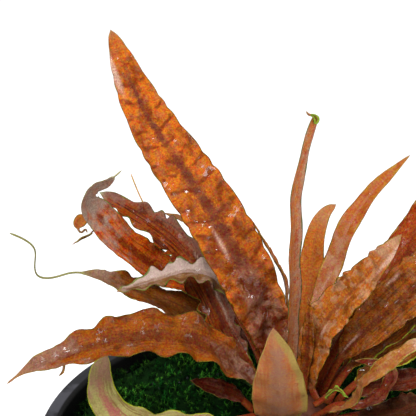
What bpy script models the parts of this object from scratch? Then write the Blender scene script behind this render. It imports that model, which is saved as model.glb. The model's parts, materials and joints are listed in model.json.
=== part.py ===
"""Potted Cryptocoryne albida, brown form: a rosette of narrow bronze leaves in a black nursery pot.

The model stands on the XY plane with the pot's axis on Z. Each leaf is one solid, stalk and
blade together, lofted along a smooth midrib that starts on the crown. Leaf places are given in
millimetres and degrees: reach out from the crown, height above the pot's rim, and direction.
"""
import math
from dataclasses import dataclass

import bmesh
import bpy
import numpy as np
from mathutils import Matrix, Vector

MM = 0.001
OBJECT_NAME = "cryptocoryne_albida_brown"

# Pot: a round nursery pot with a rolled lip
POT_HEIGHT = 92 * MM
LIP_RADIUS = 60 * MM
LIP_WIDTH = 4.3 * MM
LIP_DROP = 7 * MM
LIP_ROUND = 0.9 * MM
LIP_TAPER = 0.4 * MM
MOUTH_CHAMFER = 1.3 * MM
BASE_RADIUS = 43 * MM
BASE_CHAMFER = 1.2 * MM
WALL = 1.5 * MM
FLOOR = 2.0 * MM
POT_STEPS = 48
DRAIN_HOLES = 6
DRAIN_RADIUS = 4.5 * MM
DRAIN_RING = 30 * MM

# What fills the pot, with heights told from the rim
GAP = 0.3 * MM
SOIL_TOP = -13 * MM
SOIL_DOME = 0.6 * MM
SOIL_STEPS = 32
BED = -11.8 * MM
MOSS_RADIUS = 53.2 * MM
MOSS_TOP = 2.0 * MM
MOSS_SHOULDER = 1.2 * MM
MOSS_EDGE = 4 * MM
MOSS_STEPS = 30
MOSS_RINGS = 7
LUMP = 1.1 * MM
BROAD_LUMPS = 6.7 * MM
FINE_LUMPS = 5.0 * MM
FINE_SHARE = 0.6
EDGE_LOBES = 5
LOBE_SHARE = 0.012

# Crown: the short rootstock that all leaves leave from
CROWN_X = 1 * MM
CROWN_Y = 5 * MM
CROWN_RADIUS = 8.5 * MM
CROWN_TOP = 8.5 * MM
CROWN_DOME = 5 * MM
CROWN_STEPS = 20
DOME_RINGS = 5
ROOT_TAPER = 0.8

# Leaves
SEAT_GAP = 0.75 * MM
STALK_HALF_WIDTH = 1.0 * MM
THREAD = 0.3
STALK_RISE = 0.55 * MM
STALK_KEEL = 0.75 * MM
BLADE_RISE = 0.25 * MM
BLADE_KEEL = 0.55 * MM
STATION_PITCH = 2.6 * MM
FEWEST_STATIONS = 10
BLADE_SHOULDER = 3
RUFFLE_LAG = 1.9

COLOURS = {
    "pot": ((0.035, 0.035, 0.04), 0.5),
    "soil": ((0.05, 0.035, 0.025), 0.95),
    "moss": ((0.02, 0.12, 0.03), 0.9),
    "crown": ((0.16, 0.05, 0.03), 0.7),
    "bronze": ((0.50, 0.16, 0.035), 0.45),
    "mauve": ((0.42, 0.24, 0.2), 0.5),
    "dark": ((0.2, 0.06, 0.04), 0.45),
    "olive": ((0.28, 0.2, 0.06), 0.5),
}


@dataclass
class Leaf:
    """One leaf: direction, midrib points after its seat, and the form of its blade."""
    name: str
    heading: float
    path: tuple
    width: float
    seat: tuple
    stalk: float = 0.2
    tail: float = 0
    belly: float = 0.42
    taper: float = 1.3
    roll: tuple = (0, 0)
    fold: float = 14
    wave: float = 0.6
    waves: float = 5
    tone: str = "bronze"


# Path points are (reach, height above the rim) or (reach, height, sideways), sideways to the
# left of the heading as seen from the crown; a seat is (direction, tilt) on the crown's dome
LEAVES = (
    Leaf("leaf_tall", 142, ((4, 14), (10, 30), (24.8, 50.7, 0.1), (45, 71.9, 0.3), (54.9, 89.1)),
         14, seat=(215, 25), belly=0.4, stalk=0.08, roll=(-30, -42), fold=8, wave=0.4, waves=9,
         taper=1.05),
    Leaf("leaf_crinkled", 160, ((9, 15.5, -3), (16, 27.5, -4), (22, 34.5, -4.5), (28, 35.3, -3.3),
         (34, 33.5, -1), (42.5, 32, 6)), 6.5, seat=(155, 30), roll=(-15, -20), wave=1.2, waves=11,
         tone="mauve", stalk=0.42),
    Leaf("leaf_edge_on", 110, ((9.5, 24.9, -2.2), (14, 31.7, -3.4), (17, 38.2, -1),
         (22, 45.9, 2.4)), 3.5, seat=(105, 34), roll=(60, 60), wave=0.2, tone="olive"),
    Leaf("leaf_behind_tall", 130, ((16, 22, -4), (28, 31, -4), (37, 37.8, -2.8), (46, 40.6, 2)),
         5, seat=(92, 54), wave=0.3),
    Leaf("leaf_needle", 133, ((17, 19, -3.6), (36, 25.5, -4.2), (46.5, 30, -4.4), (56, 38, -3),
         (61.5, 45.5, -3)), 4, seat=(114, 56), roll=(0, 60), wave=0.2, tail=0.25),
    Leaf("leaf_ruffled", 143, ((7, 9, 1.5), (17.7, 19.8, 1.5), (23.6, 26.9, 0.2), (33, 34, -3.2),
         (47.6, 38, -6.6), (61.6, 43.7, -3)), 8.3, seat=(141, 52), stalk=0.12, roll=(-20, -30),
         wave=1.3, waves=7, tone="dark", belly=0.46, taper=1.1),
    Leaf("leaf_hooked", 148, ((13.3, 17.4, -3.8), (24.4, 24.4, -6.8), (37.1, 25.8, -8),
         (49.6, 39.8, 2.2), (53.6, 44.8, 4), (54.6, 48.5, 6), (53.3, 52.1, 4.6),
         (51.2, 53.3, 2.6), (48.2, 56.2, -0.1)), 9.4, seat=(127, 80), roll=(-5, -60), wave=0.6,
         tail=0.03, belly=0.5, taper=0.9),
    Leaf("leaf_tailed", 152, ((8.5, 6.5, -0.5), (16, 12, -3.5), (28, 17.5, -6), (38.9, 21.9, -5),
         (49.7, 29.6, 3.5), (56.8, 31.2, 7.7), (60.6, 30.2, 10.4), (63, 30.9, 12.2),
         (63.4, 35, 12.9), (63.3, 39, 13.2), (65, 41.3, 14.4), (68.1, 43.4, 16.5)), 9.4,
         seat=(157, 84), stalk=0.1, roll=(-40, -50), wave=1.0, belly=0.4, tail=0.3, tone="olive"),
    Leaf("leaf_arched", 190, ((7, 10), (13, 17), (20, 24), (30, 28), (39, 28.6), (55.2, 24.9),
         (63.4, 22.1), (67.8, 18.9)), 12, seat=(190, 52), stalk=0.08, roll=(-30, -30), wave=1.3,
         waves=7.9, taper=1.6, tail=0.03),
    Leaf("leaf_green_strap", 170, ((8.5, 7, -1), (15.5, 11.5, -2.5), (19.5, 14, -4.5)), 2.6,
         seat=(170, 74), tone="olive"),
    Leaf("leaf_low_red", 175, ((12.5, 7), (18.5, 9.5), (24.5, 11.5)), 5.5, seat=(176, 84),
         roll=(-20, -20), wave=0.3, tone="dark"),
    Leaf("leaf_inside_rim", 195, ((14.1, 4.9, 1.4), (30.2, 5, 2), (39.6, 6.1, -1.3),
         (43.8, 9.9, -5), (45.1, 13.9, -7.5), (44.4, 17.1, -9.4), (42.6, 20.2, -10.6)), 8.8,
         seat=(197, 82), roll=(-10, -70), wave=0.8, tone="mauve", taper=0.8),
    Leaf("leaf_upright", 90, ((-1, 17, 0.7), (-1.6, 35.5, 0.6), (-2, 45.7, 0.8), (-2, 55.2, 0.7),
         (-2, 62, 0.8), (-1.6, 71.8, -0.7), (-1, 81.5, -3.1)), 6.4, seat=(280, 10), roll=(60, 60),
         wave=0.2, stalk=0.06, taper=0.25),
    Leaf("leaf_short_back", 70, ((10, 22.6, -0.3), (16.4, 34.8, 0.7), (19.3, 44, 0.4),
         (21.9, 47.9, -1.1), (24, 49, -2.7)), 6.3, seat=(78, 32), wave=0.3, taper=1),
    Leaf("leaf_dark_back", 80, ((1, 15, -2.8), (2, 23, -3.3), (3, 34, -3)), 3, seat=(330, 16),
         tone="dark"),
    Leaf("leaf_curving", 45, ((10, 28, 1.8), (16.1, 35.8, 2.7), (20.6, 44, 2.6),
         (27.1, 50.9, 1.9), (38.3, 60.1, -1.8)), 5.2, seat=(40, 26), roll=(20, 20)),
    Leaf("leaf_high_right", 35, ((16, 21), (27.9, 33.2), (40.4, 45.3), (47.9, 53, -1.5),
         (64, 64, -4)), 9, seat=(40, 52), roll=(20, 20)),
    Leaf("leaf_bright", 5, ((4.3, 11.5), (4.6, 18.5, 0.8), (6.6, 24.9, 1.8), (10.7, 31.3, 2.2),
         (15.5, 37.2, 1.8), (24.9, 50.3, 1)), 10.2, seat=(-12, 40), roll=(45, 50), fold=8,
         taper=1.15, stalk=0.06, belly=0.38),
    Leaf("leaf_broad_dark", 15, ((13, 19, -0.5), (22, 27), (31, 34, 1), (48, 45, 2.5),
         (66, 52, 3)), 13, seat=(20, 52), stalk=0.15, roll=(35, 35), tone="dark"),
    Leaf("leaf_green_edged", 12, ((14, 13.5, 1), (21, 18, 2.5), (28, 22.5, 4), (40, 28.5, 5),
         (50, 32, 5)), 7, seat=(0, 62), roll=(30, 30), tone="olive"),
    Leaf("leaf_right_middle", 8, ((12.5, 8.5, -1), (18, 12.5), (26, 17, 1), (40, 22, 2),
         (50, 23, 2)), 8, seat=(2, 84), roll=(20, 20), tone="dark"),
    Leaf("leaf_right_low", 2, ((15, 7.5), (24, 11), (31, 12.5), (50, 13)), 8, seat=(-21, 83),
         roll=(10, 10), tone="dark"),
    Leaf("leaf_right_dark", -12, ((14, 5.5, -1.5), (25, 8.5, -2), (32, 11, -2), (50, 14, -2)), 9,
         seat=(-38, 83), roll=(10, 10), tone="dark"),
    Leaf("leaf_twisted", -30, ((10.6, 9.2, -3.1), (16.4, 12.8, -5), (19.6, 16.5, -5.4),
         (20.8, 20.3, -6.2), (23.7, 24.6, -6.7), (28.1, 29.5, -6), (33.1, 34.4, -4), (43, 37.8)),
         3.8, seat=(-54, 58), roll=(0, 100), wave=0.6, waves=4, stalk=0.12),
    Leaf("leaf_curled_back", -8, ((11, 9, -3.5), (17.5, 10, -4), (22, 13.5, -3),
         (23.5, 16.5, -0.5), (20, 18, 1.5), (14.5, 18.5, 1.5)), 4, seat=(-27, 62), tone="dark",
         roll=(0, 40)),
    Leaf("leaf_new_curl", -20, ((7.1, 8.7, -0.4), (9.6, 11.4, 0.2), (11, 12.4, 0.4),
         (12.5, 11.3, 0.5), (13.9, 10.4, 0.6)), 1.8, seat=(-32, 40), stalk=0.35, wave=0.2,
         tone="olive"),
    Leaf("leaf_front", 268, ((13, 8.5, -2.5), (21, 16, -3), (29, 29, -3.5), (33, 39, -4),
         (35, 47, -5)), 13, seat=(260, 76), belly=0.36, stalk=0.12),
    Leaf("leaf_front_left", 238, ((12, 6), (28, 10), (46, 8)), 9, seat=(238, 82)),
    Leaf("leaf_left_front", 215, ((14, 5), (32, 7), (50, 11)), 9, seat=(217, 84), tone="mauve"),
    Leaf("leaf_front_low", 287, ((12, 7), (30, 12), (50, 8)), 9, seat=(284, 82)),
    Leaf("leaf_front_right", 318, ((12, 6), (30, 9), (54, 15)), 9, seat=(306, 82), tone="dark"),
    Leaf("leaf_back_left", 113, ((12, 9), (27, 13), (43, 9)), 9, seat=(113, 82), tone="dark"),
    Leaf("leaf_back", 92, ((12, 10), (28, 15), (46, 9)), 9, seat=(91, 82)),
    Leaf("leaf_back_right", 60, ((13, 11), (30, 16), (50, 11)), 9, seat=(64, 82), tone="dark"),
    Leaf("leaf_right_back", 36, ((14, 9), (34, 14), (54, 16)), 9, seat=(36, 82), tone="olive"),
)


def clear_scene():
    for old in list(bpy.data.objects):
        bpy.data.objects.remove(old, do_unlink=True)


def make_collection(name):
    collection = bpy.data.collections.new(name)
    bpy.context.scene.collection.children.link(collection)
    return collection


def make_material(name, tone):
    colour, roughness = COLOURS[tone]
    material = bpy.data.materials.new(name)
    material.use_nodes = True
    shader = material.node_tree.nodes["Principled BSDF"]
    shader.inputs["Base Color"].default_value = (*colour, 1)
    shader.inputs["Roughness"].default_value = roughness
    shader.inputs["Metallic"].default_value = 0
    material.diffuse_color = (*colour, 1)
    return material


def add_object(name, mesh, collection, tone):
    obj = bpy.data.objects.new(name, mesh)
    obj.data.materials.append(make_material(name, tone))
    collection.objects.link(obj)
    return obj


def turned(name, profile, steps, collection, tone):
    """A body turned about Z from (radius, height) points, outer side running downwards."""
    mesh = bpy.data.meshes.new(name)
    points = [(radius, 0, height) for radius, height in profile]
    edges = [(i, i + 1) for i in range(len(points) - 1)]
    mesh.from_pydata(points, edges, [])
    obj = add_object(name, mesh, collection, tone)
    screw = obj.modifiers.new("turn", "SCREW")
    screw.axis = "Z"
    screw.steps = steps
    screw.render_steps = steps
    screw.use_merge_vertices = True
    screw.merge_threshold = 0.00001
    return obj


def bake(obj):
    """Replaces an object's mesh by its evaluated one, so that its points can be moved."""
    depsgraph = bpy.context.evaluated_depsgraph_get()
    mesh = bpy.data.meshes.new_from_object(obj.evaluated_get(depsgraph))
    obj.modifiers.clear()
    obj.data = mesh
    return mesh


def smooth(mesh, angle=40):
    mesh.shade_smooth()
    mesh.set_sharp_from_angle(angle=math.radians(angle))


def inner_radius(height):
    """Radius of the pot's inner wall at a height above the ground."""
    share = height / POT_HEIGHT
    return BASE_RADIUS - WALL + (LIP_RADIUS - LIP_WIDTH - BASE_RADIUS + WALL) * share


def build_pot(collection, cutters):
    top = POT_HEIGHT
    mouth = inner_radius(top)
    profile = [
        (0, FLOOR),
        (inner_radius(FLOOR), FLOOR),
        (mouth, top - MOUTH_CHAMFER),
        (mouth + MOUTH_CHAMFER, top),
    ]
    for degrees in (0, 45, 90):
        turn = math.radians(degrees)
        across = LIP_RADIUS - LIP_ROUND * (1 - math.sin(turn))
        profile.append((across, top - LIP_ROUND * (1 - math.cos(turn))))
    profile += [
        (LIP_RADIUS - LIP_TAPER, top - LIP_DROP),
        (inner_radius(top - LIP_DROP) + WALL, top - LIP_DROP - LIP_TAPER),
        (BASE_RADIUS, BASE_CHAMFER),
        (BASE_RADIUS - BASE_CHAMFER, 0),
        (0, 0),
    ]
    pot = turned("pot", profile, POT_STEPS, collection, "pot")
    bake(pot)
    for i in range(DRAIN_HOLES):
        angle = 2 * math.pi * i / DRAIN_HOLES
        cut_drain_hole(pot, angle, cutters)
    smooth(pot.data, 35)
    return pot


def cut_drain_hole(pot, angle, cutters):
    bpy.ops.mesh.primitive_cylinder_add(
        vertices=12,
        radius=DRAIN_RADIUS,
        depth=3 * FLOOR,
        location=(DRAIN_RING * math.cos(angle), DRAIN_RING * math.sin(angle), FLOOR / 2),
    )
    cutter = bpy.context.active_object
    cutter.name = "drain_cutter"
    for owner in list(cutter.users_collection):
        owner.objects.unlink(cutter)
    cutters.objects.link(cutter)
    cutter.hide_render = True
    cutter.display_type = "WIRE"
    cut = pot.modifiers.new("drain", "BOOLEAN")
    cut.operation = "DIFFERENCE"
    cut.solver = "EXACT"
    cut.object = cutter


def build_soil(collection):
    top = POT_HEIGHT + SOIL_TOP
    low = FLOOR + GAP
    profile = [
        (0, top + SOIL_DOME),
        (inner_radius(top) / 2, top),
        (inner_radius(top) - GAP, top - SOIL_DOME),
        (inner_radius(low) - GAP, low),
        (0, low),
    ]
    soil = turned("soil", profile, SOIL_STEPS, collection, "soil")
    smooth(bake(soil))
    return soil


def lump(x, y):
    """Gentle rise and fall of the moss, in parts of its height."""
    broad = math.sin(x / BROAD_LUMPS + 1) * math.cos(y / BROAD_LUMPS)
    fine = math.sin((x + y) / FINE_LUMPS + 2) * math.sin((x - y) / FINE_LUMPS)
    return broad + FINE_SHARE * fine


def build_moss(collection):
    """The moss cushion: a ring round the crown that reaches the tips of its shoots."""
    top = POT_HEIGHT + MOSS_TOP
    foot = POT_HEIGHT + BED
    hole = CROWN_RADIUS + 2 * GAP
    span = MOSS_RADIUS - hole
    profile = [(hole, foot), (hole, top - MOSS_SHOULDER)]
    for ring in range(1, MOSS_RINGS):
        profile.append((hole + span * ring / MOSS_RINGS, top))
    profile += [
        (MOSS_RADIUS - 2 * MOSS_SHOULDER, top - MOSS_SHOULDER),
        (MOSS_RADIUS, top - MOSS_EDGE),
        (MOSS_RADIUS - GAP, foot),
        (hole, foot),
    ]
    moss = turned("moss", profile, MOSS_STEPS, collection, "moss")
    mesh = bake(moss)
    for vertex in mesh.vertices:
        x, y, z = vertex.co
        high = max(0, (z - foot) / (top - foot))
        away = (math.hypot(x, y) - hole) / span
        grow = 1 + LOBE_SHARE * away * math.sin(EDGE_LOBES * math.atan2(y, x) + 1)
        vertex.co.x = CROWN_X * (1 - away) + x * grow
        vertex.co.y = CROWN_Y * (1 - away) + y * grow
        vertex.co.z += high * LUMP * lump(x, y)
    smooth(mesh)
    return moss


def crown_height(radius):
    """Height of the crown's dome above the rim plane, at a distance from its axis."""
    inside = max(0, 1 - (radius / CROWN_RADIUS) ** 2)
    return CROWN_TOP - CROWN_DOME + CROWN_DOME * math.sqrt(inside)


def build_crown(collection):
    foot = POT_HEIGHT + BED
    profile = []
    for ring in range(DOME_RINGS + 1):
        radius = CROWN_RADIUS * math.sin(math.pi / 2 * ring / DOME_RINGS)
        profile.append((radius, POT_HEIGHT + crown_height(radius)))
    profile += [(ROOT_TAPER * CROWN_RADIUS, foot), (0, foot)]
    crown = turned("crown", profile, CROWN_STEPS, collection, "crown")
    mesh = bake(crown)
    mesh.transform(Matrix.Translation((CROWN_X, CROWN_Y, 0)))
    smooth(mesh)
    return crown


def natural_spline(points, samples):
    """Points spaced evenly along the smooth curve through the given ones."""
    points = np.array(points, float)
    steps = np.linalg.norm(np.diff(points, axis=0), axis=1)
    knots = np.concatenate([[0], np.cumsum(steps)])
    count = len(points)
    system = np.zeros((count, count))
    right = np.zeros((count, 3))
    system[0, 0] = 1
    system[-1, -1] = 1
    for i in range(1, count - 1):
        before, after = steps[i - 1], steps[i]
        system[i, i - 1:i + 2] = before, 2 * (before + after), after
        slope_after = (points[i + 1] - points[i]) / after
        slope_before = (points[i] - points[i - 1]) / before
        right[i] = 6 * (slope_after - slope_before)
    bend = np.linalg.solve(system, right)
    fine = np.linspace(0, knots[-1], 40 * count)
    curve = []
    for value in fine:
        i = min(int(np.searchsorted(knots, value, side="right")) - 1, count - 2)
        width = steps[i]
        a = (knots[i + 1] - value) / width
        b = (value - knots[i]) / width
        part = (a ** 3 - a) * bend[i] + (b ** 3 - b) * bend[i + 1]
        curve.append(a * points[i] + b * points[i + 1] + part * width ** 2 / 6)
    curve = np.array(curve)
    run = np.concatenate([[0], np.cumsum(np.linalg.norm(np.diff(curve, axis=0), axis=1))])
    even = np.linspace(0, run[-1], samples)
    return np.stack([np.interp(even, run, curve[:, k]) for k in range(3)], axis=1), run[-1]


def seat_point(leaf):
    """Where a leaf's stalk begins, just clear of the crown's dome."""
    turn, tilt = (math.radians(angle) for angle in leaf.seat)
    sideways = math.sin(tilt)
    bulge = np.array([math.cos(turn) * sideways, math.sin(turn) * sideways, math.cos(tilt)])
    radius = CROWN_RADIUS * sideways
    seat = np.array([CROWN_X, CROWN_Y, POT_HEIGHT + crown_height(radius)])
    seat[:2] += radius * bulge[:2] / max(sideways, 1e-9)
    return seat + SEAT_GAP * bulge


def midrib(leaf, samples):
    """Centre line of a leaf, from its seat on the crown to its tip."""
    heading = math.radians(leaf.heading)
    out = np.array([math.cos(heading), math.sin(heading), 0])
    left = np.array([-math.sin(heading), math.cos(heading), 0])
    up = np.array([0, 0, 1.0])
    crown = np.array([CROWN_X, CROWN_Y, POT_HEIGHT])
    points = [seat_point(leaf)]
    for reach, height, *side in leaf.path:
        sideways = side[0] if side else 0
        points.append(crown + MM * (reach * out + sideways * left + height * up))
    return natural_spline(points, samples)


def frames(line, heading):
    """Tangent, left and upper directions, carried along the line without a twist."""
    tangents = np.gradient(line, axis=0)
    tangents /= np.linalg.norm(tangents, axis=1)[:, None]
    left = np.array([-math.sin(heading), math.cos(heading), 0])
    rows = []
    for tangent in tangents:
        left = left - tangent * (left @ tangent)
        left /= np.linalg.norm(left)
        rows.append((tangent, left, np.cross(tangent, left)))
    return rows


def blade_shape(share, leaf):
    """Half width of the blade in parts of its widest, at a share of the leaf's length."""
    belly = leaf.belly
    along = (share - leaf.stalk) / (1 - leaf.stalk - leaf.tail)
    if along <= 0 or along >= 1:
        return 0
    rising = leaf.taper * belly
    falling = leaf.taper * (1 - belly)
    widest = belly ** rising * (1 - belly) ** falling
    return along ** rising * (1 - along) ** falling / widest


def leaf_section(leaf, share, place, frame):
    """The four points of a leaf's section: left margin, midrib top, right margin, keel."""
    tangent, left, upper = frame
    roll = math.radians(leaf.roll[0] + (leaf.roll[1] - leaf.roll[0]) * share)
    side = math.cos(roll) * left + math.sin(roll) * upper
    face = math.cos(roll) * upper - math.sin(roll) * left
    shape = blade_shape(share, leaf)
    past_blade = share > (leaf.stalk + 1 - leaf.tail) / 2
    round_part = THREAD if past_blade else 1
    half = max(shape * leaf.width * MM / 2, STALK_HALF_WIDTH * round_part)
    blade = min(1, shape * BLADE_SHOULDER)
    rise = STALK_RISE * round_part * (1 - blade) + BLADE_RISE * blade
    keel = STALK_KEEL * round_part * (1 - blade) + BLADE_KEEL * blade
    fold = math.radians(leaf.fold) * blade
    turns = 2 * math.pi * leaf.waves * share
    points = []
    for sign, lag in ((1, 0), (-1, RUFFLE_LAG)):
        ruffle = leaf.wave * MM * shape * math.sin(turns + lag)
        across = sign * half * math.cos(fold)
        points.append(place + side * across + face * (half * math.sin(fold) + ruffle))
    top = place + face * rise
    bottom = place - face * keel
    return points[0], top, points[1], bottom


def build_leaf(leaf, collection):
    _, length = midrib(leaf, FEWEST_STATIONS)
    count = max(FEWEST_STATIONS, round(length / STATION_PITCH))
    line, _ = midrib(leaf, count)
    mesh = bmesh.new()
    rings = []
    shown = frames(line, math.radians(leaf.heading))
    for i in range(count - 1):
        section = leaf_section(leaf, i / (count - 1), line[i], shown[i])
        rings.append([mesh.verts.new(Vector(point)) for point in section])
    tip = mesh.verts.new(Vector(line[-1]))
    mesh.faces.new(rings[0])
    for low, high in zip(rings, rings[1:]):
        for k in range(4):
            following = (k + 1) % 4
            mesh.faces.new((low[k], high[k], high[following], low[following]))
    for k in range(4):
        mesh.faces.new((rings[-1][k], tip, rings[-1][(k + 1) % 4]))
    bmesh.ops.triangulate(mesh, faces=mesh.faces[:], quad_method="SHORT_EDGE")
    bmesh.ops.recalc_face_normals(mesh, faces=mesh.faces[:])
    data = bpy.data.meshes.new(leaf.name)
    mesh.to_mesh(data)
    mesh.free()
    smooth(data, 60)
    return add_object(leaf.name, data, collection, leaf.tone)


def main():
    clear_scene()
    collection = make_collection(OBJECT_NAME)
    cutters = make_collection("cutters")
    build_pot(collection, cutters)
    build_soil(collection)
    build_moss(collection)
    build_crown(collection)
    for leaf in LEAVES:
        build_leaf(leaf, collection)


main()
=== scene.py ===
"""A potted Cryptocoryne albida in its brown form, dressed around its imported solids.

Laid out as a Blender add-on and run as a script. Lengths are in metres, unless a name or a
comment says millimetres. Leaf places are in millimetres and degrees: reach out from the crown,
height above the pot's rim, and sideways to the left of the leaf's heading.
"""
import json
import math
from dataclasses import dataclass, fields
from random import Random

import bmesh
import bpy
import numpy as np
from bpy.props import FloatProperty, FloatVectorProperty, IntProperty, PointerProperty
from bpy.types import Operator, Panel, PropertyGroup
from mathutils import Matrix, Vector

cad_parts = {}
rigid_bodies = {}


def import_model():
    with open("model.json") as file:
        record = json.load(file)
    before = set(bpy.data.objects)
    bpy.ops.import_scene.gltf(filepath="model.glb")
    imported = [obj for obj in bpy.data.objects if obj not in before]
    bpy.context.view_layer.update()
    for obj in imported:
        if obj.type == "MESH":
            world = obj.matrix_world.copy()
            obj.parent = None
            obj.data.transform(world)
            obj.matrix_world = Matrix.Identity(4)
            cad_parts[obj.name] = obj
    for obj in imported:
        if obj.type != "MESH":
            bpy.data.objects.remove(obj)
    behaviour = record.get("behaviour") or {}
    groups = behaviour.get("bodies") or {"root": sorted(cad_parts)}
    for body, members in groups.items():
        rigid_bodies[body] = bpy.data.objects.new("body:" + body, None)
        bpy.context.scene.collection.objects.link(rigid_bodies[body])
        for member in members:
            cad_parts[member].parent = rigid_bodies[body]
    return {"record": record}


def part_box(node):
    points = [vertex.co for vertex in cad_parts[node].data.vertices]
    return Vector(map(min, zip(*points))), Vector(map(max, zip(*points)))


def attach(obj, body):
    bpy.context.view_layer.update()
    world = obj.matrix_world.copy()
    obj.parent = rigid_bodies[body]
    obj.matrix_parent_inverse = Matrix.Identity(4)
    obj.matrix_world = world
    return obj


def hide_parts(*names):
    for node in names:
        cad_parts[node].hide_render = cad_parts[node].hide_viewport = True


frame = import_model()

bl_info = {
    "name": "Potted Cryptocoryne",
    "version": (1, 0, 0),
    "blender": (4, 5, 0),
    "location": "3D View > Sidebar > Plant",
    "description": "Builds a potted brown Cryptocoryne: pot, soil, moss, crown, leaves and stage",
    "category": "Add Mesh",
}

MM = 0.001
FULL_TURN = 2 * math.pi
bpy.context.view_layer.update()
POT_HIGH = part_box("pot")[1]
CROWN_LOW, CROWN_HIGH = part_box("crown")
MOSS_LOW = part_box("moss")[0]
SOIL_LOW, SOIL_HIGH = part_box("soil")
RIM = POT_HIGH.z
NODE_SLOTS = {part["node"]: part["material_slot"] for part in frame["record"]["subparts"]}

# Pot; the straight part of its wall leaves room for the corners at both ends
LIP_RADIUS = 60 * MM
LIP_WIDTH = 4.3 * MM
LIP_DROP = 7 * MM
LIP_TAPER = 0.4 * MM
MOUTH_RADIUS = LIP_RADIUS - LIP_WIDTH
MOUTH_CHAMFER = 1.3 * MM
LIP_INNER_EDGE = 1.8 * MM
LIP_OUTER_EDGE = 2 * MM
LIP_SLOPE = 0.02 * MM
COLLAR_ROUND = 0.5 * MM
COLLAR_STEP = 0.8 * MM
COLLAR_FILLET = 0.6 * MM
BASE_RADIUS = 43 * MM
FOOT_ROUND = 1.2 * MM
FOOT_WIDTH = 6 * MM
WALL = 1.5 * MM
POT_FLOOR = 2.0 * MM
FLOOR_ROUND = 2 * MM
CORNER_ROOM = 3 * MM
POT_STEPS = 144
DRAIN_HOLES = 6
DRAIN_RADIUS = 4.5 * MM
DRAIN_RING = 30 * MM
DRAIN_STEPS = 32
CUTTER_REACH = 10 * MM
# Black painted on the pot's inner wall as painted shade
PAINTED_INNER_SHADE = (0.0015, 0.0015, 0.0015)
SCUFFS_BELOW_RIM = (9 * MM, 5 * MM)
# How far beyond the inner wall's radius the painted shade fades out
INNER_SHADE_FADE = (0.9 * MM, 1.4 * MM)

# Soil and moss
GAP = 0.3 * MM
SOIL_SINK = 0.8 * MM
CRUMB_SIZE = 0.7 * MM
CRUMB_DENSITY = 450000.0
MOSS_RADIUS = 53.2 * MM
MOSS_TOP = 2.0 * MM
MOSS_EDGE = 4 * MM
# Radii over which painted shade darkens the moss towards the wall
MOSS_SHADOW = (43 * MM, 52 * MM)
MOSS_RINGS = 26
MOSS_STEPS = 120
SHOOT_SINK = 0.4 * MM
LUMP = 1.1 * MM
BROAD_LUMPS = 6.7 * MM
FINE_LUMPS = 5.0 * MM
FINE_SHARE = 0.6
CLUMP = 0.35 * MM
EDGE_LOBES = 5
LOBE_SHARE = 0.012
STONE_SIZE = 0.5 * MM
STONE_DENSITY = 45000.0

# Crown: the dome that the leaves' seats lie on
CROWN_CENTRE = ((CROWN_LOW.x + CROWN_HIGH.x) / 2, (CROWN_LOW.y + CROWN_HIGH.y) / 2)
CROWN_RADIUS = (CROWN_HIGH.x - CROWN_LOW.x) / 2
CROWN_TOP = CROWN_HIGH.z - RIM
CROWN_DOME = 5 * MM
CROWN_RIDGES = 9
RIDGE_SHARE = 0.05
SEAT_GAP = 0.75 * MM

# Points round the soil and the crown
ROUND_STEPS = 96

# Leaf sections
STALK_HALF_WIDTH = 1.0 * MM
STALK_RISE = 0.5 * MM
STALK_KEEL = 0.7 * MM
STALK_FLARE = 0.35
FLARE_LENGTH = 3 * MM
THREAD = 0.3
BLADE_HALF_THICKNESS = 0.14 * MM
RIB_KEEL = 0.35 * MM
RIB_HALF_WIDTH = 0.7 * MM
RIB_GROOVE = 0.1 * MM
TIP_LENGTH = 1.2 * MM
FEWEST_ROWS = 30
BLADE_SHOULDER = 3
RUFFLE_LAG = 1.9
LOBE_LAG = 1.3
FLUTTER = 0.8
FOLD_SOFTNESS = 0.02
USUAL_CRUMPLE = 0.3

# Spacing of a skin's bands and of its blisters in millimetres, and the colour of a gleam, a
# painted highlight on a fold
BAND_PITCH = 4.2
BLISTER_PITCH = 2.2
GLEAM = (0.42, 0.25, 0.185)

# Share of a leaf's length where its bands and rib fade out, and how soft the end of a film's
# painted sheen is
TIP_FADE = (0.84, 0.95)
FILM_END = 0.14

# Lights: name, place and size, and share of the key light's power
LIGHTS = (
    ("key_light", (-0.35, -0.35, 0.9), 0.6, 1.0),
    ("fill_light", (0.6, -0.5, 0.5), 0.5, 0.3),
    ("spark_light", (-0.15, -0.5, 0.9), 0.09, 0.11),
    ("spark_light", (0.3, -0.45, 0.75), 0.09, 0.11),
)

# Floor and camera; the sensor's width is in millimetres
FLOOR_REACH = 6.0
CLIP_END = 50
SENSOR_WIDTH = 36


@dataclass
class Leaf:
    """One leaf: its midrib from the crown outwards, the form of its blade, and its skin.

    Width, wave and crumple are in millimetres, and angles in degrees. Stalk and tail are shares
    of the leaf's length, belly is how far along the blade it is widest, and frill is a share of
    its half width. Waves and frills are counted over the length, and blisters are in parts of
    the usual height. A gleam is a painted highlight where a fold shines, in millimetres: how far
    along the leaf, how far left of the rib, how long and how wide. A leaf that grows on another
    one has no seat.
    """
    name: str
    heading: float
    path: tuple
    width: float
    seat: tuple
    skin: str
    stalk: float = 0.2
    tail: float = 0
    belly: float = 0.42
    taper: float = 1.3
    roll: tuple = (0, 0)
    fold: float = 14
    wave: float = 0.6
    waves: float = 5
    frill: float = 0.05
    frills: float = 14
    sharp: float = 1.0
    crumple: float = USUAL_CRUMPLE
    base_crumple: float = 0.0
    blisters: float = 0.0
    gleams: tuple = ()
    grows_on: str = ""


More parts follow.
